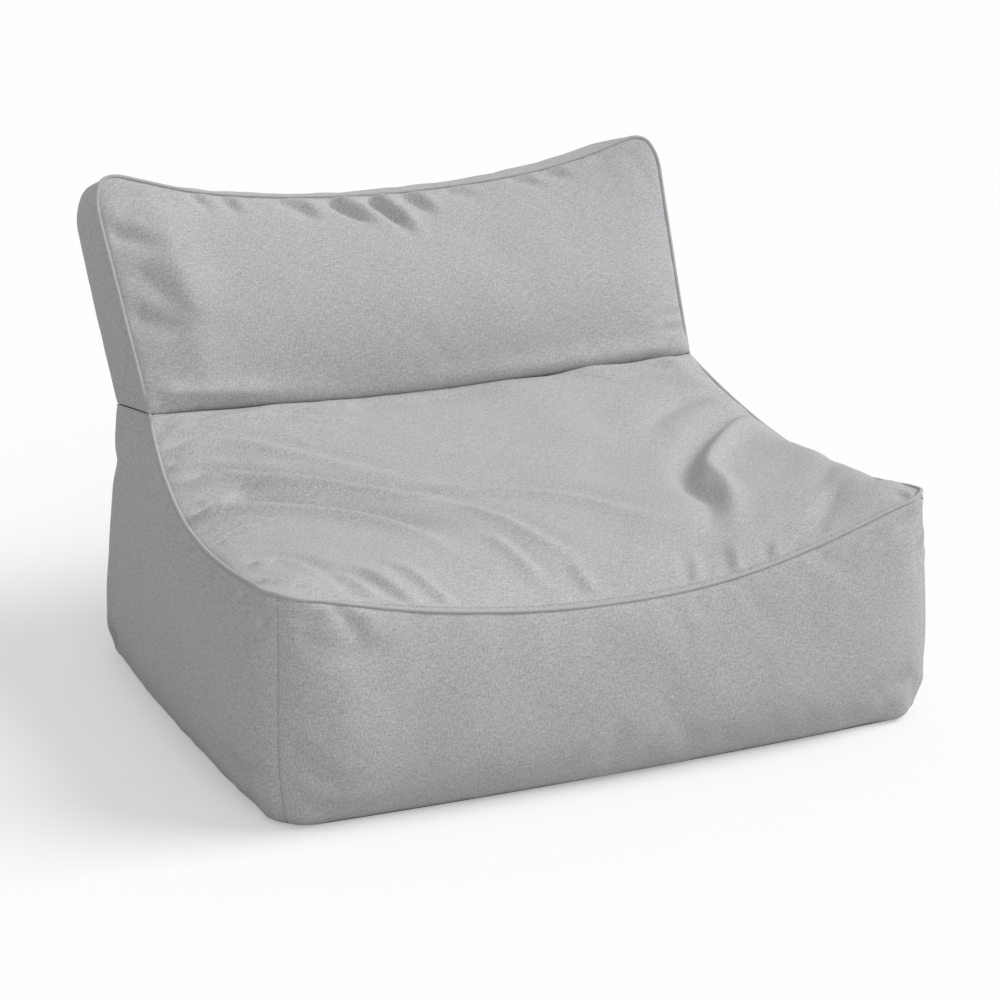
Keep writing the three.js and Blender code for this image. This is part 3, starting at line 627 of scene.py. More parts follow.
# How far the folds lift each place of a panel.
def foldHeights(folds, across, up, halfWidth, height):
    f = foldShape
    lift = np.zeros(across.shape)
    flat = np.stack([across * halfWidth, up * height], -1)
    for depth, width, rim, places in folds:
        width = width / 1000
        line = np.array(places) * [halfWidth, height]
        line = resampleAxis(line, np.linspace(0, 1, f["samples"]), 0)
        reach = np.ptp(line, axis=0) / 2 + f["reach"] * width
        near = (np.abs(flat - line.mean(0)) < reach).all(-1)
        spots = flat[near]
        if not len(spots):
            continue
        gap = spots[:, None, :] - line[None]
        distance = np.linalg.norm(gap, axis=2)
        nearest = distance.argmin(1)
        along = nearest / (len(line) - 1)
        direction = unit(np.gradient(line, axis=0))[nearest]
        offset = gap[np.arange(len(spots)), nearest]
        side = direction[:, 0] * offset[:, 1] - direction[:, 1] * offset[:, 0]
        within = (nearest > 0) & (nearest < len(line) - 1)
        away = distance[np.arange(len(spots)), nearest] * np.where(side < 0, -1, 1)
        d = np.where(within, side, away)
        shape = np.exp(-(np.abs(d) / width) ** f["sharpness"])
        if rim:
            centre = np.sign(rim) * f["rimPlace"] * width
            shape -= abs(rim) * np.exp(-((d - centre) / (f["rimWidth"] * width)) ** 2)
        taper = smooth(*f["startFade"], along) * smooth(0, f["endFade"], 1 - along)
        lift[near] += f["gain"] * depth / 1000 * shape * taper
    return lift


# Panels of cloth. Grooves, lips and ripples fade with the distance from the seam.
panelShape = {"thickness": 0.0012, "foldStart": 0.007, "lipReach": 0.012,
              "rippleSizes": (0.013, 0.023), "rippleSlant": 0.6, "rippleStart": 0.003,
              "rippleReach": 0.024, "lumps": ((0.0020, 0.085, 100), (0.0005, 0.03, 200)),
              "lumpStart": 0.03, "sharedReach": 0.005, "wearReach": 0.006}
zipWindow = {"halfHeight": 0.012, "proud": 0.0006, "endRoom": 0.0003, "samples": 800,
             "flatWithin": 0.008, "innerFlatWithin": 0.012, "flatFade": 0.045}


def lengthsAlong(grid, axis):
    step = np.linalg.norm(np.diff(grid, axis=axis), axis=2)
    return np.concatenate([np.zeros_like(step.take([0], axis)), np.cumsum(step, axis)], axis)


# Places from 0 to 1 with short steps at both ends and lines at the stops.
def gradedPlaces(length, cell, stops=(), finest=0.0014, growth=1.5):
    steps = [finest]
    while steps[-1] * growth < cell:
        steps.append(steps[-1] * growth)
    edge = sum(steps)
    inner = [edge, *[s * length for s in stops], length - edge]
    middle = []
    for low, high in zip(inner, inner[1:]):
        count = max(1, round((high - low) / cell))
        middle += [(high - low) / count] * count
    steps = steps + middle + steps[::-1]
    return np.concatenate([[0], np.cumsum(steps)]) / length


# Gives a piece its cloth grain and its nearness to a seam, for the finishes.
def weave(piece, flat, nearness):
    grain = piece.data.uv_layers.new(name="clothGrain")
    grain.uv.foreach_set("vector", flat.astype(np.float32).ravel())
    wear = piece.data.attributes.new("seamNearness", "FLOAT", "POINT")
    wear.data.foreach_set("value", nearness.astype(np.float32).ravel())
    piece.data.update()
    return piece


def clothPiece(name, grid, flat, nearness, faces):
    piece = newPiece(name, grid.reshape(-1, 3).tolist(), faces.tolist())
    return weave(piece, flat.reshape(-1, 2)[faces.ravel()], nearness)


# Seat pieces ride on the seat; backrest pieces stay where they are, attached to nothing.
def attach(piece, bag):
    if bag == "seat":
        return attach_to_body(piece, "seat")
    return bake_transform(piece)


# The zip's place in the frame: middle, along, up the cloth and out.
def zipPlane(bag):
    w = zipWindow
    upper, lower = (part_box(f"{bag}_zip_tape_{end}") for end in ("upper", "lower"))
    up = sum(upper, Vector()) / 2 - sum(lower, Vector()) / 2
    up.x = 0
    up.normalize()
    along = Vector((-1, 0, 0))
    out = along.cross(up)
    middle = sum(upper, Vector()) / 4 + sum(lower, Vector()) / 4 + out * w["proud"]
    half = (upper[1].x - upper[0].x) / 2 + w["endRoom"]
    return {"middle": np.array(middle), "along": np.array(along), "up": np.array(up),
            "out": np.array(out), "halfLength": half, "halfHeight": w["halfHeight"]}


# A place's distances from the window's middle, and how far it lies outside the window.
def windowPlaces(made, window):
    local = made - window["middle"]
    x, y, z = (local @ window[k] for k in ("along", "up", "out"))
    beyond = np.maximum(np.abs(x) - window["halfLength"], np.abs(y) - window["halfHeight"])
    return x, y, z, beyond


# The panel's rows and columns that lie closest to the window's edges, from 0 to 1.
def windowStops(coarse, window):
    count = zipWindow["samples"]
    even = np.linspace(0, 1, count + 1)
    x, y, z, beyond = windowPlaces(resample(coarse, even, even), window)
    level = y[:, count // 2]
    rows = [np.abs(level - e * window["halfHeight"]).argmin() / count for e in (-1, 1)]
    place = x[round(sum(rows) / 2 * count)]
    columns = [np.abs(place - e * window["halfLength"]).argmin() / count for e in (-1, 1)]
    return rows, columns


# Grooves, lips and small puckers along the four seams of a panel.
def seamHeights(distances, alongs, seams, seed):
    p = panelShape
    lift = np.zeros_like(distances[0])
    groove = np.zeros_like(distances[0])
    for distance, along, seam, salt in zip(distances, alongs, seams, range(4)):
        if seam is None:
            continue
        depth, reach, lip, pucker = seam
        groove = np.maximum(groove, depth * np.exp(-(distance / reach) ** 1.5))
        lift += lip * distance / p["lipReach"] * np.exp(1 - distance / p["lipReach"])
        slanted = along + distance * p["rippleSlant"]
        ripple = sum(softNoise(slanted, 0 * along, size, seed * 10 + salt + k * 5)
                     for k, size in enumerate(p["rippleSizes"]))
        fade = np.exp(-distance / p["rippleReach"]) * (1 - np.exp(-distance / p["rippleStart"]))
        lift += pucker * ripple * fade
    return lift - groove


# Flattens the cloth round the zip and cuts the window; gives the places and the faces left.
def cutWindow(made, faces, window, rows, columns, rowStops, columnStops):
    x, y, z, beyond = windowPlaces(made, window)
    flatness = smooth(zipWindow["flatFade"], zipWindow["flatWithin"], beyond)
    made = made - (z * flatness)[..., None] * window["out"]
    r0, r1 = (np.abs(rows - stop).argmin() for stop in rowStops)
    c0, c1 = (np.abs(columns - stop).argmin() for stop in columnStops)
    for r, sign in ((r0, -1), (r1, 1)):
        short = sign * window["halfHeight"] - y[r, c0:c1 + 1]
        made[r, c0:c1 + 1] += short[:, None] * window["up"]
    for c, sign in ((c0, -1), (c1, 1)):
        short = sign * window["halfLength"] - x[r0:r1 + 1, c]
        made[r0:r1 + 1, c] += short[:, None] * window["along"]
    opening = np.zeros((len(rows) - 1, len(columns) - 1), bool)
    opening[r0:r1, c0:c1] = True
    return made, faces[~opening.ravel()]


# seams are given for the first column, last column, first row and last row.
def makePanel(name, bag, part, node, seams, seed, slot="cover_cloth", cell=0.005, zipped=False):
    p = panelShape
    coarse = bags[bag][part] + np.array([0, leanPoint.y, 0])
    window = zipPlane(bag) if zipped else None
    middleRow, middleColumn = coarse.shape[0] // 2, coarse.shape[1] // 2
    width = lengthsAlong(coarse, 1)[middleRow, -1]
    height = lengthsAlong(coarse, 0)[-1, middleColumn]
    rowStops, columnStops = windowStops(coarse, window) if zipped else ((), ())
    rows = gradedPlaces(height, cell, rowStops)
    columns = gradedPlaces(width, cell, columnStops)
    grid = resample(coarse, rows, columns)
    left, low = lengthsAlong(grid, 1), lengthsAlong(grid, 0)
    right, high = left[:, -1:] - left, low[-1:] - low
    u, v = left - left[:, [len(columns) // 2]], low
    across, up = np.meshgrid(2 * columns - 1, rows)
    folds = panelFolds[bag].get(part, ())
    rim = np.minimum.reduce([left, right, low, high])
    lift = foldHeights(folds, across, up, width / 2, height)
    lift *= 1 - np.exp(-(rim / p["foldStart"]) ** 2)
    lift += seamHeights((left, right, low, high), (v, v, u, u), seams, seed)
    calm = 1 - np.exp(-rim / p["lumpStart"])
    for depth, size, salt in p["lumps"]:
        lift += depth * softNoise(u, v, size, seed + salt) * calm
    own = resample(normalsOf(coarse), rows, columns)
    shared = resample(seamNormals[bag][part], rows, columns)
    facing = unit(mixPoints(own, shared, np.exp(-rim / p["sharedReach"])))
    made = grid + facing * lift[..., None]
    made[..., 2] = np.maximum(made[..., 2], 0)
    faces = cellsOf(np.arange(made[..., 0].size).reshape(made.shape[:2]))
    if zipped:
        made, faces = cutWindow(made, faces, window, rows, columns, rowStops, columnStops)
    nearness = np.exp(-rim / p["wearReach"])
    panel = clothPiece(name, made, np.stack([u, v], -1), nearness, faces)
    hem = panel.modifiers.new("thickness", "SOLIDIFY")
    hem.thickness = p["thickness"]
    hem.offset = -1
    attach(panel, bag)
    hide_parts(node)
    panel.data.materials.append(materials[slot])
    return made


# Finishes.
def newMaterial(name):
    material = bpy.data.materials.new(name)
    material.use_nodes = True
    return material, material.node_tree, material.node_tree.nodes["Principled BSDF"]


def newGroup(name, inputs, outputs):
    group = bpy.data.node_groups.new(name, "ShaderNodeTree")
    for label, kind, value in inputs:
        socket = group.interface.new_socket(label, in_out="INPUT", socket_type=kind)
        if value is not None:
            socket.default_value = value
    for label, kind in outputs:
        group.interface.new_socket(label, in_out="OUTPUT", socket_type=kind)
    return group, group.nodes.new("NodeGroupInput"), group.nodes.new("NodeGroupOutput")


def maths(tree, operation, *values):
    node = tree.nodes.new("ShaderNodeMath")
    node.operation = operation
    for socket, value in zip(node.inputs, values):
        if isinstance(value, (int, float)):
            socket.default_value = value
        else:
            tree.links.new(value, socket)
    return node.outputs[0]


def centred(tree, value):
    return maths(tree, "SUBTRACT", value, 0.5)


# Noise whose spots may be longer one way; scale is spots per metre along each axis.
def stretchedNoise(tree, vector, scale, detail=2.0):
    sized = tree.nodes.new("ShaderNodeVectorMath")
    sized.operation = "MULTIPLY"
    sized.inputs[1].default_value = scale
    tree.links.new(vector, sized.inputs[0])
    noise = tree.nodes.new("ShaderNodeTexNoise")
    noise.inputs["Scale"].default_value = 1
    noise.inputs["Detail"].default_value = detail
    tree.links.new(sized.outputs[0], noise.inputs["Vector"])
    return noise.outputs["Fac"]


def mixColour(tree, share, a, b):
    node = tree.nodes.new("ShaderNodeMix")
    node.data_type = "RGBA"
    for socket, value in ((node.inputs[0], share), (node.inputs[6], a), (node.inputs[7], b)):
        if isinstance(value, (int, float, tuple)):
            socket.default_value = value
        else:
            tree.links.new(value, socket)
    return node.outputs[2]


weaveShape = {
    "warpSpots": (900, 90, 1), "weftSpots": (70, 700, 1), "speckleSpots": (420, 300, 1),
    "cloudSpots": (14, 11, 1), "speckle": 1.4, "clouds": 0.10, "threadShade": 0.035,
}


# Plain weave with mixed yarns. Grain is the cloth's own flat place, in metres.
def makeWeaveGroup():
    w = weaveShape
    inputs = [
        ("Grain", "NodeSocketVector", None),
        ("Yarn", "NodeSocketColor", (0.5, 0.5, 0.5, 1)),
        ("Threads", "NodeSocketFloat", 900.0),
        ("Melange", "NodeSocketFloat", 0.5),
        ("Slub", "NodeSocketFloat", 0.5),
    ]
    outputs = [("Color", "NodeSocketColor"), ("Height", "NodeSocketFloat")]
    group, given, out = newGroup("melangeWeave", inputs, outputs)
    grain = given.outputs["Grain"]
    axes = group.nodes.new("ShaderNodeSeparateXYZ")
    group.links.new(grain, axes.inputs[0])
    turns = maths(group, "MULTIPLY", given.outputs["Threads"], math.pi)
    warp = maths(group, "SINE", maths(group, "MULTIPLY", axes.outputs[0], turns))
    weft = maths(group, "SINE", maths(group, "MULTIPLY", axes.outputs[1], turns))
    over = maths(group, "MULTIPLY", warp, weft)
    alongWarp = stretchedNoise(group, grain, w["warpSpots"])
    alongWeft = stretchedNoise(group, grain, w["weftSpots"])
    speckle = stretchedNoise(group, grain, w["speckleSpots"], 1.0)
    cloud = stretchedNoise(group, grain, w["cloudSpots"], 3.0)
    yarns = maths(group, "ADD", centred(group, alongWarp), centred(group, alongWeft))
    speckles = maths(group, "MULTIPLY", centred(group, speckle), w["speckle"])
    yarns = maths(group, "ADD", yarns, speckles)
    yarns = maths(group, "MULTIPLY", yarns, given.outputs["Melange"])
    clouds = maths(group, "MULTIPLY", centred(group, cloud), w["clouds"])
    shade = maths(group, "MULTIPLY", over, w["threadShade"])
    gain = maths(group, "ADD", maths(group, "ADD", yarns, clouds), shade)
    gain = maths(group, "ADD", gain, 1.0)
    scaled = group.nodes.new("ShaderNodeVectorMath")
    scaled.operation = "SCALE"
    group.links.new(given.outputs["Yarn"], scaled.inputs[0])
    group.links.new(gain, scaled.inputs["Scale"])
    group.links.new(scaled.outputs[0], out.inputs["Color"])
    slubs = maths(group, "ADD", alongWarp, alongWeft)
    slubs = maths(group, "MULTIPLY", slubs, given.outputs["Slub"])
    group.links.new(maths(group, "ADD", over, slubs), out.inputs["Height"])
    return group


wearShape = {"patches": (38, 38, 38), "paleCloth": (0.72, 0.72, 0.72, 1), "roughSpread": 0.12}


# Cloth rubbed paler in patches near the seams, with uneven roughness all over.
def makeWearGroup():
    inputs = [
        ("Color", "NodeSocketColor", (0.5, 0.5, 0.5, 1)),
        ("Seam", "NodeSocketFloat", 0.0),
        ("Rub", "NodeSocketFloat", 0.1),
        ("Roughness", "NodeSocketFloat", 0.9),
    ]
    outputs = [("Color", "NodeSocketColor"), ("Roughness", "NodeSocketFloat")]
    group, given, out = newGroup("seamWear", inputs, outputs)
    place = group.nodes.new("ShaderNodeTexCoord").outputs["Object"]
    patches = stretchedNoise(group, place, wearShape["patches"], 3.0)
    worn = maths(group, "MULTIPLY", given.outputs["Seam"], patches)
    worn = maths(group, "MULTIPLY", worn, given.outputs["Rub"])
    pale = mixColour(group, worn, given.outputs["Color"], wearShape["paleCloth"])
    group.links.new(pale, out.inputs["Color"])
    spread = maths(group, "MULTIPLY", centred(group, patches), wearShape["roughSpread"])
    rough = maths(group, "ADD", given.outputs["Roughness"], spread)
    group.links.new(rough, out.inputs["Roughness"])
    return group


clothFinish = {"bumpDistance": 0.0004, "sheen": 0.12, "specular": 0.2, "slub": 0.5}


def clothMaterial(name, colour, threads=900.0, melange=0.3, rub=0.15, relief=0.3):
    material, tree, shader = newMaterial(name)
    grain = tree.nodes.new("ShaderNodeUVMap")
    grain.uv_map = "clothGrain"
    yarn = tree.nodes.new("ShaderNodeGroup")
    yarn.node_tree = weaveGroup
    yarn.inputs["Yarn"].default_value = (*colour, 1)
    yarn.inputs["Threads"].default_value = threads
    yarn.inputs["Melange"].default_value = melange
    yarn.inputs["Slub"].default_value = clothFinish["slub"]
    tree.links.new(grain.outputs[0], yarn.inputs["Grain"])
    wear = tree.nodes.new("ShaderNodeGroup")
    wear.node_tree = wearGroup
    wear.inputs["Rub"].default_value = rub
    seam = tree.nodes.new("ShaderNodeAttribute")
    seam.attribute_name = "seamNearness"
    tree.links.new(seam.outputs["Fac"], wear.inputs["Seam"])
    tree.links.new(yarn.outputs["Color"], wear.inputs["Color"])
    tree.links.new(wear.outputs["Color"], shader.inputs["Base Color"])
    tree.links.new(wear.outputs["Roughness"], shader.inputs["Roughness"])
    bump = tree.nodes.new("ShaderNodeBump")
    bump.inputs["Strength"].default_value = relief
    bump.inputs["Distance"].default_value = clothFinish["bumpDistance"]
    tree.links.new(yarn.outputs["Height"], bump.inputs["Height"])
    tree.links.new(bump.outputs[0], shader.inputs["Normal"])
    shader.inputs["Sheen Weight"].default_value = clothFinish["sheen"]
    shader.inputs["Specular IOR Level"].default_value = clothFinish["specular"]
    return material


weaveGroup = makeWeaveGroup()
wearGroup = makeWearGroup()
materials = {
    "cover_cloth": clothMaterial("greyCover", (0.455, 0.456, 0.465), melange=0.55),
    "piping_cord": clothMaterial("greyPiping", (0.45, 0.45, 0.459), threads=1000.0, rub=0.1),
    "base_cloth": clothMaterial("baseCloth", (0.10, 0.10, 0.105), threads=700.0, relief=0.5),
    "liner_cloth": clothMaterial("linerCloth", (0.72, 0.72, 0.70), threads=1500.0, melange=0.1),
    "closure_strip": clothMaterial("closureStrip", (0.70, 0.70, 0.68), threads=1200.0,
                                   melange=0.1),
    "zip_tape": clothMaterial("zipTape", (0.22, 0.22, 0.225), threads=1400.0, relief=0.5),
}
print("finishes made")

# seams: (depth and reach of the groove, lip beside it, puckers)
piped = (0.0014, 0.0035, 0.0006, 0.0006)
plain = (0.0014, 0.0030, 0.0004, 0.00015)
crease = (0.0003, 0.0040, 0.0045, 0.0003)
unseamed = (None, None, None, None)
coverPanels = {
    "seatTopCloth": {"bag": "seat", "part": "top", "node": "seat_top_panel", "seed": 1,
                     "seams": (piped, piped, piped, crease)},
    "seatFrontCloth": {"bag": "seat", "part": "front", "node": "seat_front_panel", "seed": 2,
                       "seams": (plain, plain, plain, piped)},
    "seatRearCloth": {"bag": "seat", "part": "rear", "node": "seat_rear_panel", "seed": 3,
                      "seams": (plain, plain, plain, plain), "zipped": True},
    "seatLeftCloth": {"bag": "seat", "part": "left", "node": "seat_left_panel", "seed": 4,
                      "seams": (plain, plain, plain, piped)},
    "seatRightCloth": {"bag": "seat", "part": "right", "node": "seat_right_panel", "seed": 5,
                       "seams": (plain, plain, plain, piped)},
    "baseCloth": {"bag": "seat", "part": "base", "node": "base_panel", "seed": 6,
                  "seams": unseamed, "cell": 0.012, "slot": "base_cloth"},
    "dividerCloth": {"bag": "seat", "part": "divider", "node": "divider_panel", "seed": 7,
                     "seams": unseamed, "cell": 0.012},
    "backFrontCloth": {"bag": "back", "part": "front", "node": "back_front_panel", "seed": 8,
                       "seams": (piped, piped, crease, piped)},
    "backRearCloth": {"bag": "back", "part": "rear", "node": "back_rear_panel", "seed": 9,
                      "seams": (plain, plain, plain, plain), "zipped": True},
    "backLeftGusset": {"bag": "back", "part": "left", "node": "back_left_gusset", "seed": 10,
                       "seams": (piped, plain, plain, plain)},
    "backRightGusset": {"bag": "back", "part": "right", "node": "back_right_gusset", "seed": 11,
                        "seams": (plain, piped, plain, plain)},
    "backTopGusset": {"bag": "back", "part": "top", "node": "back_top_gusset", "seed": 12,
                      "seams": (plain, plain, piped, plain)},
}
panelGrids = {name: makePanel(name, **panel) for name, panel in coverPanels.items()}
print("cover panels cut")


pipingShape = {"radius": 0.0027, "standOff": 0.0001, "step": 0.004, "sides": 12, "easing": 5,
               "waver": 0.0004, "waverLength": 0.05, "waverSeed": 300, "nearness": 0.8}


def lengthsGone(path):
    return lengthsAlong(path[:, None], 0)[:, 0]


def pointsAt(places, gone, line):
    return np.stack([np.interp(places, gone, line[:, k]) for k in range(3)], -1)


def evenPath(path, step):
    gone = lengthsGone(path)
    return pointsAt(np.linspace(0, gone[-1], round(gone[-1] / step) + 1), gone, path)


# A ring of directions round each point, for tubes and threads.
def ringOf(angle, across, other):
    return np.cos(angle)[:, None] * across + np.sin(angle)[:, None] * other


# A round cord along the path, closed at both ends.
def makeCord(name, path, bag, node):
    p = pipingShape
    radius, sides = p["radius"], p["sides"]
    tangent = unit(np.gradient(path, axis=0))
    across = np.zeros_like(path)
    last = unit(np.cross(tangent[0], (0.3, 0.5, 0.8)))
    for i, direction in enumerate(tangent):
        last = unit(last - direction * (last @ direction))
        across[i] = last
    other = np.cross(tangent, across)
    angle = np.linspace(0, 2 * np.pi, sides + 1)
    grid = path[:, None] + ringOf(angle, across[:, None], other[:, None]) * radius
    gone = lengthsGone(path)
    flat = np.stack(np.broadcast_arrays(gone[:, None], angle[None] * radius), -1)
    count = len(path)
    numbers = np.arange(count * sides).reshape(count, sides)
    numbers = np.concatenate([numbers, numbers[:, :1]], 1)
    faces = cellsOf(numbers)
    corners = cellsOf(np.arange(count * (sides + 1)).reshape(count, sides + 1))
    caps = [numbers[0, :-1].tolist(), numbers[-1, :-1][::-1].tolist()]
    points = grid[:, :-1].reshape(-1, 3)
    cord = newPiece(name, points.tolist(), faces[:, ::-1].tolist() + caps)
    places = [flat.reshape(-1, 2)[corners[:, ::-1].ravel()], flat[0, :-1], flat[-1, :-1][::-1]]
    weave(cord, np.concatenate(places), np.full(count * sides, p["nearness"]))
    attach(cord, bag)
    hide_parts(node)
    cord.data.materials.append(materials["piping_cord"])


# runs = [(panel line, its normals, neighbour's normals)], joined end to end.
def pipingPath(runs):
    p = pipingShape
    path = []
    for line, normals, beside in runs:
        path.append((line + unit(normals + beside) * p["standOff"])[len(path) > 0:])
    path = evenPath(np.concatenate(path), p["step"])
    for _ in range(p["easing"]):
        path[1:-1] = (path[:-2] + 2 * path[1:-1] + path[2:]) / 4
    s = np.arange(len(path)) * p["step"]
    for k in range(3):
        path[:, k] += p["waver"] * softNoise(s, 0 * s, p["waverLength"], p["waverSeed"] + k)
    return path + np.array([0, leanPoint.y, 0])


def makePiping():
    top = seatBag["top"]
    n = {part: normalsOf(grid) for part, grid in seatBag.items()}
    count = top.shape[0]
    seatPath = pipingPath([
        (top[::-1, 0], n["top"][::-1, 0], n["right"][-1, -count:]),
        (top[0], n["top"][0], n["front"][-1]),
        (top[:, -1], n["top"][:, -1], n["left"][-1, :count]),
    ])
    front = backBag["front"]
    m = {part: normalsOf(grid) for part, grid in backBag.items()}
    backPath = pipingPath([
        (front[:, 0], m["front"][:, 0], m["right"][:, -1]),
        (front[-1], m["front"][-1], m["top"][0]),
        (front[::-1, -1], m["front"][::-1, -1], m["left"][::-1, 0]),
    ])
    makeCord("seatPiping", seatPath, "seat", "seat_piping")
    makeCord("backPiping", backPath, "back", "back_front_piping")


makePiping()
print("piping sewn in")


# Inner bags and beads follow the cover at an inset, and stay behind the zip.
innerShape = {"behindZip": 0.003, "zipDepth": 0.08, "cornerLimit": 0.5, "cornerMitre": 1.5}
innerPieces = {
    "seatLinerBag": {"bag": "seat", "inset": 0.0045, "node": "seat_liner", "slot": "liner_cloth"},
    "backLinerBag": {"bag": "back", "inset": 0.0045, "node": "back_liner", "slot": "liner_cloth"},
    "seatBeads": {"bag": "seat", "inset": 0.0075, "node": "seat_bead_fill", "slot": "bead_fill"},
    "backBeads": {"bag": "back", "inset": 0.0075, "node": "back_bead_fill", "slot": "bead_fill"},
}


def makeInner(name, bag, inset, node, slot):
    shape = innerShape
    grids = bags[bag]
    points, numbers = sewn(seatGrids() if bag == "seat" else backGrids())
    after = np.zeros_like(points)
    normals = np.zeros_like(points)
    panels = np.zeros((len(points), 1))
    lift = np.zeros(len(points))
    for part, number in numbers.items():
        after[number] = grids[part]
        np.add.at(normals, number, normalsOf(grids[part]))
        np.add.at(panels, number, 1)
        rows, columns = (np.linspace(0, 1, c) for c in number.shape)
        across, up = np.meshgrid(2 * columns - 1, rows)
        width = lengthsAlong(grids[part], 1)[len(rows) // 2, -1]
        height = lengthsAlong(grids[part], 0)[-1, len(columns) // 2]
        folds = panelFolds[bag].get(part, ())
        np.minimum.at(lift, number, foldHeights(folds, across, up, width / 2, height))
    flatness = np.linalg.norm(normals, axis=1) / panels[:, 0]
    mitre = np.clip(flatness, shape["cornerLimit"], 1) ** shape["cornerMitre"]
    made = after + unit(normals) * (lift - inset / mitre)[:, None] + np.array([0, leanPoint.y, 0])
    window = zipPlane(bag)
    x, y, z, beyond = windowPlaces(made, window)
    inFront = np.maximum(0, z + inset + shape["behindZip"]) * (z > -shape["zipDepth"])
    nearZip = smooth(zipWindow["flatFade"], zipWindow["innerFlatWithin"], beyond)
    made -= (inFront * nearZip)[:, None] * window["out"]
    made[:, 2] = np.maximum(made[:, 2], inset)
    faces = np.concatenate([cellsOf(n) for n in numbers.values()])
    piece = clothPiece(name, made, made[:, :2], np.zeros(len(points)), faces)
    attach(piece, bag)
    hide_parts(node)
    piece.data.materials.append(materials[slot])


beadShape = {"perMetre": 260, "darkest": 0.78, "palest": 0.92, "bump": 0.003, "roughness": 0.55}


def beadMaterial():
    b = beadShape
    material, tree, shader = newMaterial("whiteBeads")
    place = tree.nodes.new("ShaderNodeTexCoord").outputs["Object"]
    cells = tree.nodes.new("ShaderNodeTexVoronoi")
    cells.inputs["Scale"].default_value = b["perMetre"]
    tree.links.new(place, cells.inputs["Vector"])
    tint = tree.nodes.new("ShaderNodeMapRange")
    tint.inputs["To Min"].default_value = b["darkest"]
    tint.inputs["To Max"].default_value = b["palest"]
    tree.links.new(cells.outputs["Color"], tint.inputs["Value"])
    tree.links.new(tint.outputs[0], shader.inputs["Base Color"])
    bump = tree.nodes.new("ShaderNodeBump")
    bump.invert = True
    bump.inputs["Distance"].default_value = b["bump"]
    tree.links.new(cells.outputs["Distance"], bump.inputs["Height"])
    tree.links.new(bump.outputs[0], shader.inputs["Normal"])
    shader.inputs["Roughness"].default_value = b["roughness"]
    return material


materials["bead_fill"] = beadMaterial()
for name, inner in innerPieces.items():
    makeInner(name, **inner)
print("inner bags and beads made")


# Zips. A tooth is a ring of corners drawn in at both ends, (place in half lengths, size).
zipShape = {"toothPitch": 0.0019, "toothLength": 0.0031, "toothThick": 0.0012,
            "toothHeight": 0.0020, "rowOffset": 0.0011, "corners": 8, "squareness": 0.6,
            "profile": ((-1, 0.55), (-0.8, 1), (0.8, 1), (1, 0.55)), "bevel": 0.0004,
            "bevelSegments": 3, "bevelAngle": 35}
lacquer = {"colour": (0.15, 0.15, 0.155), "roughness": 0.38, "roughSpread": 0.25,
           "colourSpread": 0.12, "spots": (900, 900, 900), "metallic": 0.85}
plastic = {"spots": (1500, 1500, 1500), "colourSpread": 0.1, "roughness": 0.42}


def shadedColour(colour, share):
    return (*[c * share for c in colour], 1)


def spottedTint(tree, spots, colour, spread):
    darker, paler = shadedColour(colour, 1 - spread), shadedColour(colour, 1 + spread)
    return mixColour(tree, spots, darker, paler)


def metalMaterial(name):
    m = lacquer
    material, tree, shader = newMaterial(name)
    place = tree.nodes.new("ShaderNodeTexCoord").outputs["Object"]
    spots = stretchedNoise(tree, place, m["spots"], 3.0)
    rough = maths(tree, "MULTIPLY", centred(tree, spots), m["roughSpread"])
    rough = maths(tree, "ADD", rough, m["roughness"])
    tree.links.new(rough, shader.inputs["Roughness"])
    tint = spottedTint(tree, spots, m["colour"], m["colourSpread"])
    tree.links.new(tint, shader.inputs["Base Color"])
    shader.inputs["Metallic"].default_value = m["metallic"]
    return material


def plasticMaterial(name, colour):
    material, tree, shader = newMaterial(name)
    place = tree.nodes.new("ShaderNodeTexCoord").outputs["Object"]
    spots = stretchedNoise(tree, place, plastic["spots"], 2.0)
    tint = spottedTint(tree, spots, colour, plastic["colourSpread"])
    tree.links.new(tint, shader.inputs["Base Color"])
    shader.inputs["Roughness"].default_value = plastic["roughness"]
    return material


materials["zip_metal"] = metalMaterial("satinLacquer")
materials["zip_chain"] = plasticMaterial("nylonCoil", (0.17, 0.17, 0.175))


# Side faces of a tube: rings of corners, numbered ring by ring.
def tubeFaces(rings, corners):
    return [[corners * k + i, corners * k + (i + 1) % corners,
             corners * (k + 1) + (i + 1) % corners, corners * (k + 1) + i]
            for k in range(rings - 1) for i in range(corners)]


# Two rows of small rounded teeth that mesh along the middle of the chain.
def makeCoil(name, bag, node):
    z = zipShape
    plane = zipPlane(bag)
    low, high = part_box(node)
    middle = np.array((low + high) / 2)
    length = high.x - low.x
    half = np.array([z["toothThick"], z["toothLength"], z["toothHeight"]]) / 2
    corners, profile = z["corners"], z["profile"]
    angle = np.linspace(0, 2 * np.pi, corners, endpoint=False) + np.pi / corners
    ring = np.stack([np.cos(angle), np.sin(angle)], -1)
    ring = np.sign(ring) * np.abs(ring) ** z["squareness"]
    tooth = np.array([[a * size, end, b * size] for end, size in profile for a, b in ring]) * half
    sides = tubeFaces(len(profile), corners)
    last = len(tooth) - 1
    ends = [list(range(corners)), list(range(last, last - corners, -1))]
    points, faces = [], []
    count = int((length - z["toothThick"]) / (z["toothPitch"] / 2))
    for k in range(count):
        x = (k - (count - 1) / 2) * z["toothPitch"] / 2
        y = (-1) ** k * z["rowOffset"]
        start = len(points)
        made = tooth + [x, y, 0]
        points += (middle + made[:, :1] * plane["along"] + made[:, 1:2] * plane["up"]
                   + made[:, 2:] * plane["out"]).tolist()
        faces += [[start + i for i in face] for face in sides + ends]
    coil = newPiece(name, points, faces)
    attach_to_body(coil, "seat" if bag == "seat" else "backrest")
    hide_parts(node)
    coil.data.materials.append(materials["zip_chain"])


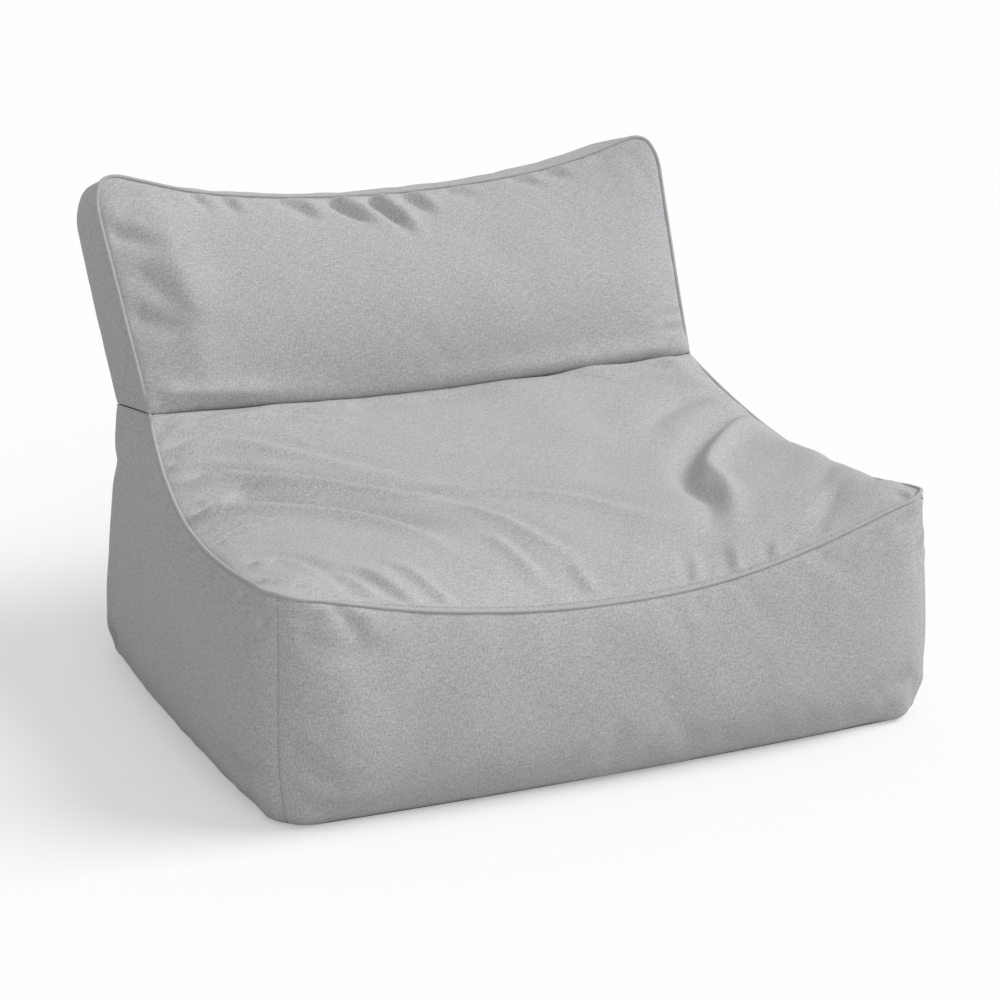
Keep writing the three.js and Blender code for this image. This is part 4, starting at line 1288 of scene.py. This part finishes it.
def finishNode(node, slot, rounded=False):
    piece = bpy.data.objects[node]
    if rounded:
        edge = piece.modifiers.new("roundedEdges", "BEVEL")
        edge.width = zipShape["bevel"]
        edge.segments = zipShape["bevelSegments"]
        edge.limit_method = "ANGLE"
        edge.angle_limit = math.radians(zipShape["bevelAngle"])
    piece.data.materials.clear()
    piece.data.materials.append(materials[slot])


for bag in ("seat", "back"):
    makeCoil(bag + "ZipCoil", bag, bag + "_zip_chain")
    for end in ("closed_stop", "open_stop", "slider", "pull"):
        finishNode(f"{bag}_zip_{end}", "zip_metal", rounded=True)
    for end in ("upper", "lower"):
        finishNode(f"{bag}_zip_tape_{end}", "zip_tape")
    finishNode(f"{bag}_liner_closure", "closure_strip")
print("zips made")


# Topstitching. profile: (place in stitch lengths, width and height in thread radii)
stitchShape = {"length": 0.0032, "pitch": 0.0046, "radius": 0.00035, "lift": 0.00015,
               "corners": 6, "seamDistance": 0.0062, "endColumns": 12,
               "windowDistance": 0.003, "windowStep": 0.002,
               "profile": ((-0.5, 0.25, -1.6), (-0.32, 0.9, 0.2), (0, 1, 0.6), (0.32, 0.9, 0.2),
                           (0.5, 0.25, -1.6))}


# A row of short threads lying along the path.
def makeStitches(name, path, normals, bag):
    s = stitchShape
    gone = lengthsGone(path)
    starts = np.arange(s["pitch"], gone[-1] - s["pitch"], s["pitch"])
    angle = np.linspace(0, 2 * np.pi, s["corners"], endpoint=False)
    along, size, sink = np.array(s["profile"]).T
    along, size, sink = along * s["length"], size * s["radius"], sink * s["radius"]
    sides = [(a, d, c, b) for a, b, c, d in tubeFaces(len(s["profile"]), s["corners"])]
    points, faces = [], []
    for start in starts:
        up = unit(pointsAt(start, gone, normals))
        places = pointsAt(start + along, gone, path)
        side = np.cross(up, unit(places[-1] - places[0]))
        ring = ringOf(angle, side, up) * size[:, None, None]
        body = places[:, None] + ring + ((sink + s["lift"])[:, None] * up)[:, None]
        first = len(points)
        points += body.reshape(-1, 3).tolist()
        faces += [[first + i for i in face] for face in sides]
    row = newPiece(name, points, faces)
    attach(row, bag)
    row.data.materials.append(materials["thread"])


materials["thread"] = plasticMaterial("greyThread", (0.40, 0.40, 0.41))


# A row along the seam at the panel's first row.
def seamStitches(name, grid, bag):
    distance, ends = stitchShape["seamDistance"], stitchShape["endColumns"]
    low = lengthsAlong(grid, 0)
    line = np.array([pointsAt(distance, low[:, c], grid[:, c]) for c in range(grid.shape[1])])
    row = np.abs(low[:, grid.shape[1] // 2] - distance).argmin()
    makeStitches(name, line[ends:-ends], normalsOf(grid)[row][ends:-ends], bag)


def windowStitches(name, bag):
    window = zipPlane(bag)
    away = stitchShape["windowDistance"]
    x, y = window["halfLength"] + away, window["halfHeight"] + away
    corners = np.array([(-x, -y, 0), (x, -y, 0), (x, y, 0), (-x, y, 0), (-x, -y, 0)])
    path = evenPath(corners, stitchShape["windowStep"])
    path = window["middle"] + path[:, :1] * window["along"] + path[:, 1:2] * window["up"]
    makeStitches(name, path, np.broadcast_to(window["out"], path.shape), bag)


seamStitches("seatFrontStitches", panelGrids["seatTopCloth"], "seat")
windowStitches("seatZipStitches", "seat")
windowStitches("backZipStitches", "back")
print("seams topstitched")


# Studio.
studio = {
    "azimuth": -24.6185, "elevation": 16.9794, "distance": 3.6886, "aimRight": 0.0254,
    "aimUp": -0.0889, "lens": 95.11,
    "suns": {"keyLight": {"from": (0.62, -0.20, 0.58), "strength": 2.1, "angle": 38},
             "frontLight": {"from": (-0.10, -0.65, 0.50), "strength": 0.35, "angle": 30}},
    "skyStrength": 0.49, "backdrop": 0.975, "floorSize": 120, "floorColour": 0.64,
    "floorGlow": 0.35,
}


# 1 where the backdrop or floor is seen directly, in a gloss or through glass.
def seenRays(tree):
    path = tree.nodes.new("ShaderNodeLightPath")
    bounced = maths(tree, "MAXIMUM", path.outputs["Is Glossy Ray"],
                    path.outputs["Is Transmission Ray"])
    return maths(tree, "MAXIMUM", path.outputs["Is Camera Ray"], bounced)


def makeCamera():
    a, e = math.radians(studio["azimuth"]), math.radians(studio["elevation"])
    back = Vector((math.sin(a) * math.cos(e), -math.cos(a) * math.cos(e), math.sin(e)))
    right = Vector((math.cos(a), math.sin(a), 0))
    up = back.cross(right)
    camera = bpy.data.objects.new("camera", bpy.data.cameras.new("camera"))
    scene.collection.objects.link(camera)
    middle = (frameLow + frameHigh) / 2
    camera.location = (middle + back * studio["distance"] + right * studio["aimRight"]
                       + up * studio["aimUp"])
    camera.rotation_mode = "QUATERNION"
    camera.rotation_quaternion = (-back).to_track_quat("-Z", "Y")
    camera.data.lens = studio["lens"]
    camera.data.sensor_width = 36
    scene.camera = camera


def makeLights():
    for name, sun in studio["suns"].items():
        light = bpy.data.objects.new(name, bpy.data.lights.new(name, "SUN"))
        scene.collection.objects.link(light)
        light.rotation_mode = "QUATERNION"
        light.rotation_quaternion = Vector(sun["from"]).to_track_quat("Z", "Y")
        light.data.energy = sun["strength"]
        light.data.angle = math.radians(sun["angle"])

    world = bpy.data.worlds.new("studioWorld")
    scene.world = world
    world.use_nodes = True
    tree = world.node_tree
    sky = tree.nodes["Background"]
    sky.inputs["Color"].default_value = (1, 1, 1, 1)
    sky.inputs["Strength"].default_value = studio["skyStrength"]
    seen = tree.nodes.new("ShaderNodeBackground")
    seen.inputs["Color"].default_value = (*[studio["backdrop"]] * 3, 1)
    chooser = tree.nodes.new("ShaderNodeMixShader")
    tree.links.new(seenRays(tree), chooser.inputs[0])
    tree.links.new(sky.outputs[0], chooser.inputs[1])
    tree.links.new(seen.outputs[0], chooser.inputs[2])
    tree.links.new(chooser.outputs[0], tree.nodes["World Output"].inputs["Surface"])


def makeFloor():
    bpy.ops.mesh.primitive_plane_add(size=studio["floorSize"])
    floor = bpy.context.object
    floor.name = "studioFloor"
    material, tree, shader = newMaterial("floorPaint")
    tree.nodes.remove(shader)
    matt = tree.nodes.new("ShaderNodeBsdfDiffuse")
    matt.inputs["Color"].default_value = (*[studio["floorColour"]] * 3, 1)
    glow = tree.nodes.new("ShaderNodeEmission")
    glow.inputs["Strength"].default_value = studio["floorGlow"]
    chooser = tree.nodes.new("ShaderNodeMixShader")
    tree.links.new(seenRays(tree), chooser.inputs[0])
    tree.links.new(glow.outputs[0], chooser.inputs[2])
    both = tree.nodes.new("ShaderNodeAddShader")
    tree.links.new(matt.outputs[0], both.inputs[0])
    tree.links.new(chooser.outputs[0], both.inputs[1])
    tree.links.new(both.outputs[0], tree.nodes["Material Output"].inputs["Surface"])
    floor.data.materials.append(material)


makeCamera()
makeLights()
makeFloor()
scene.view_settings.view_transform = "Standard"
print("studio set up")
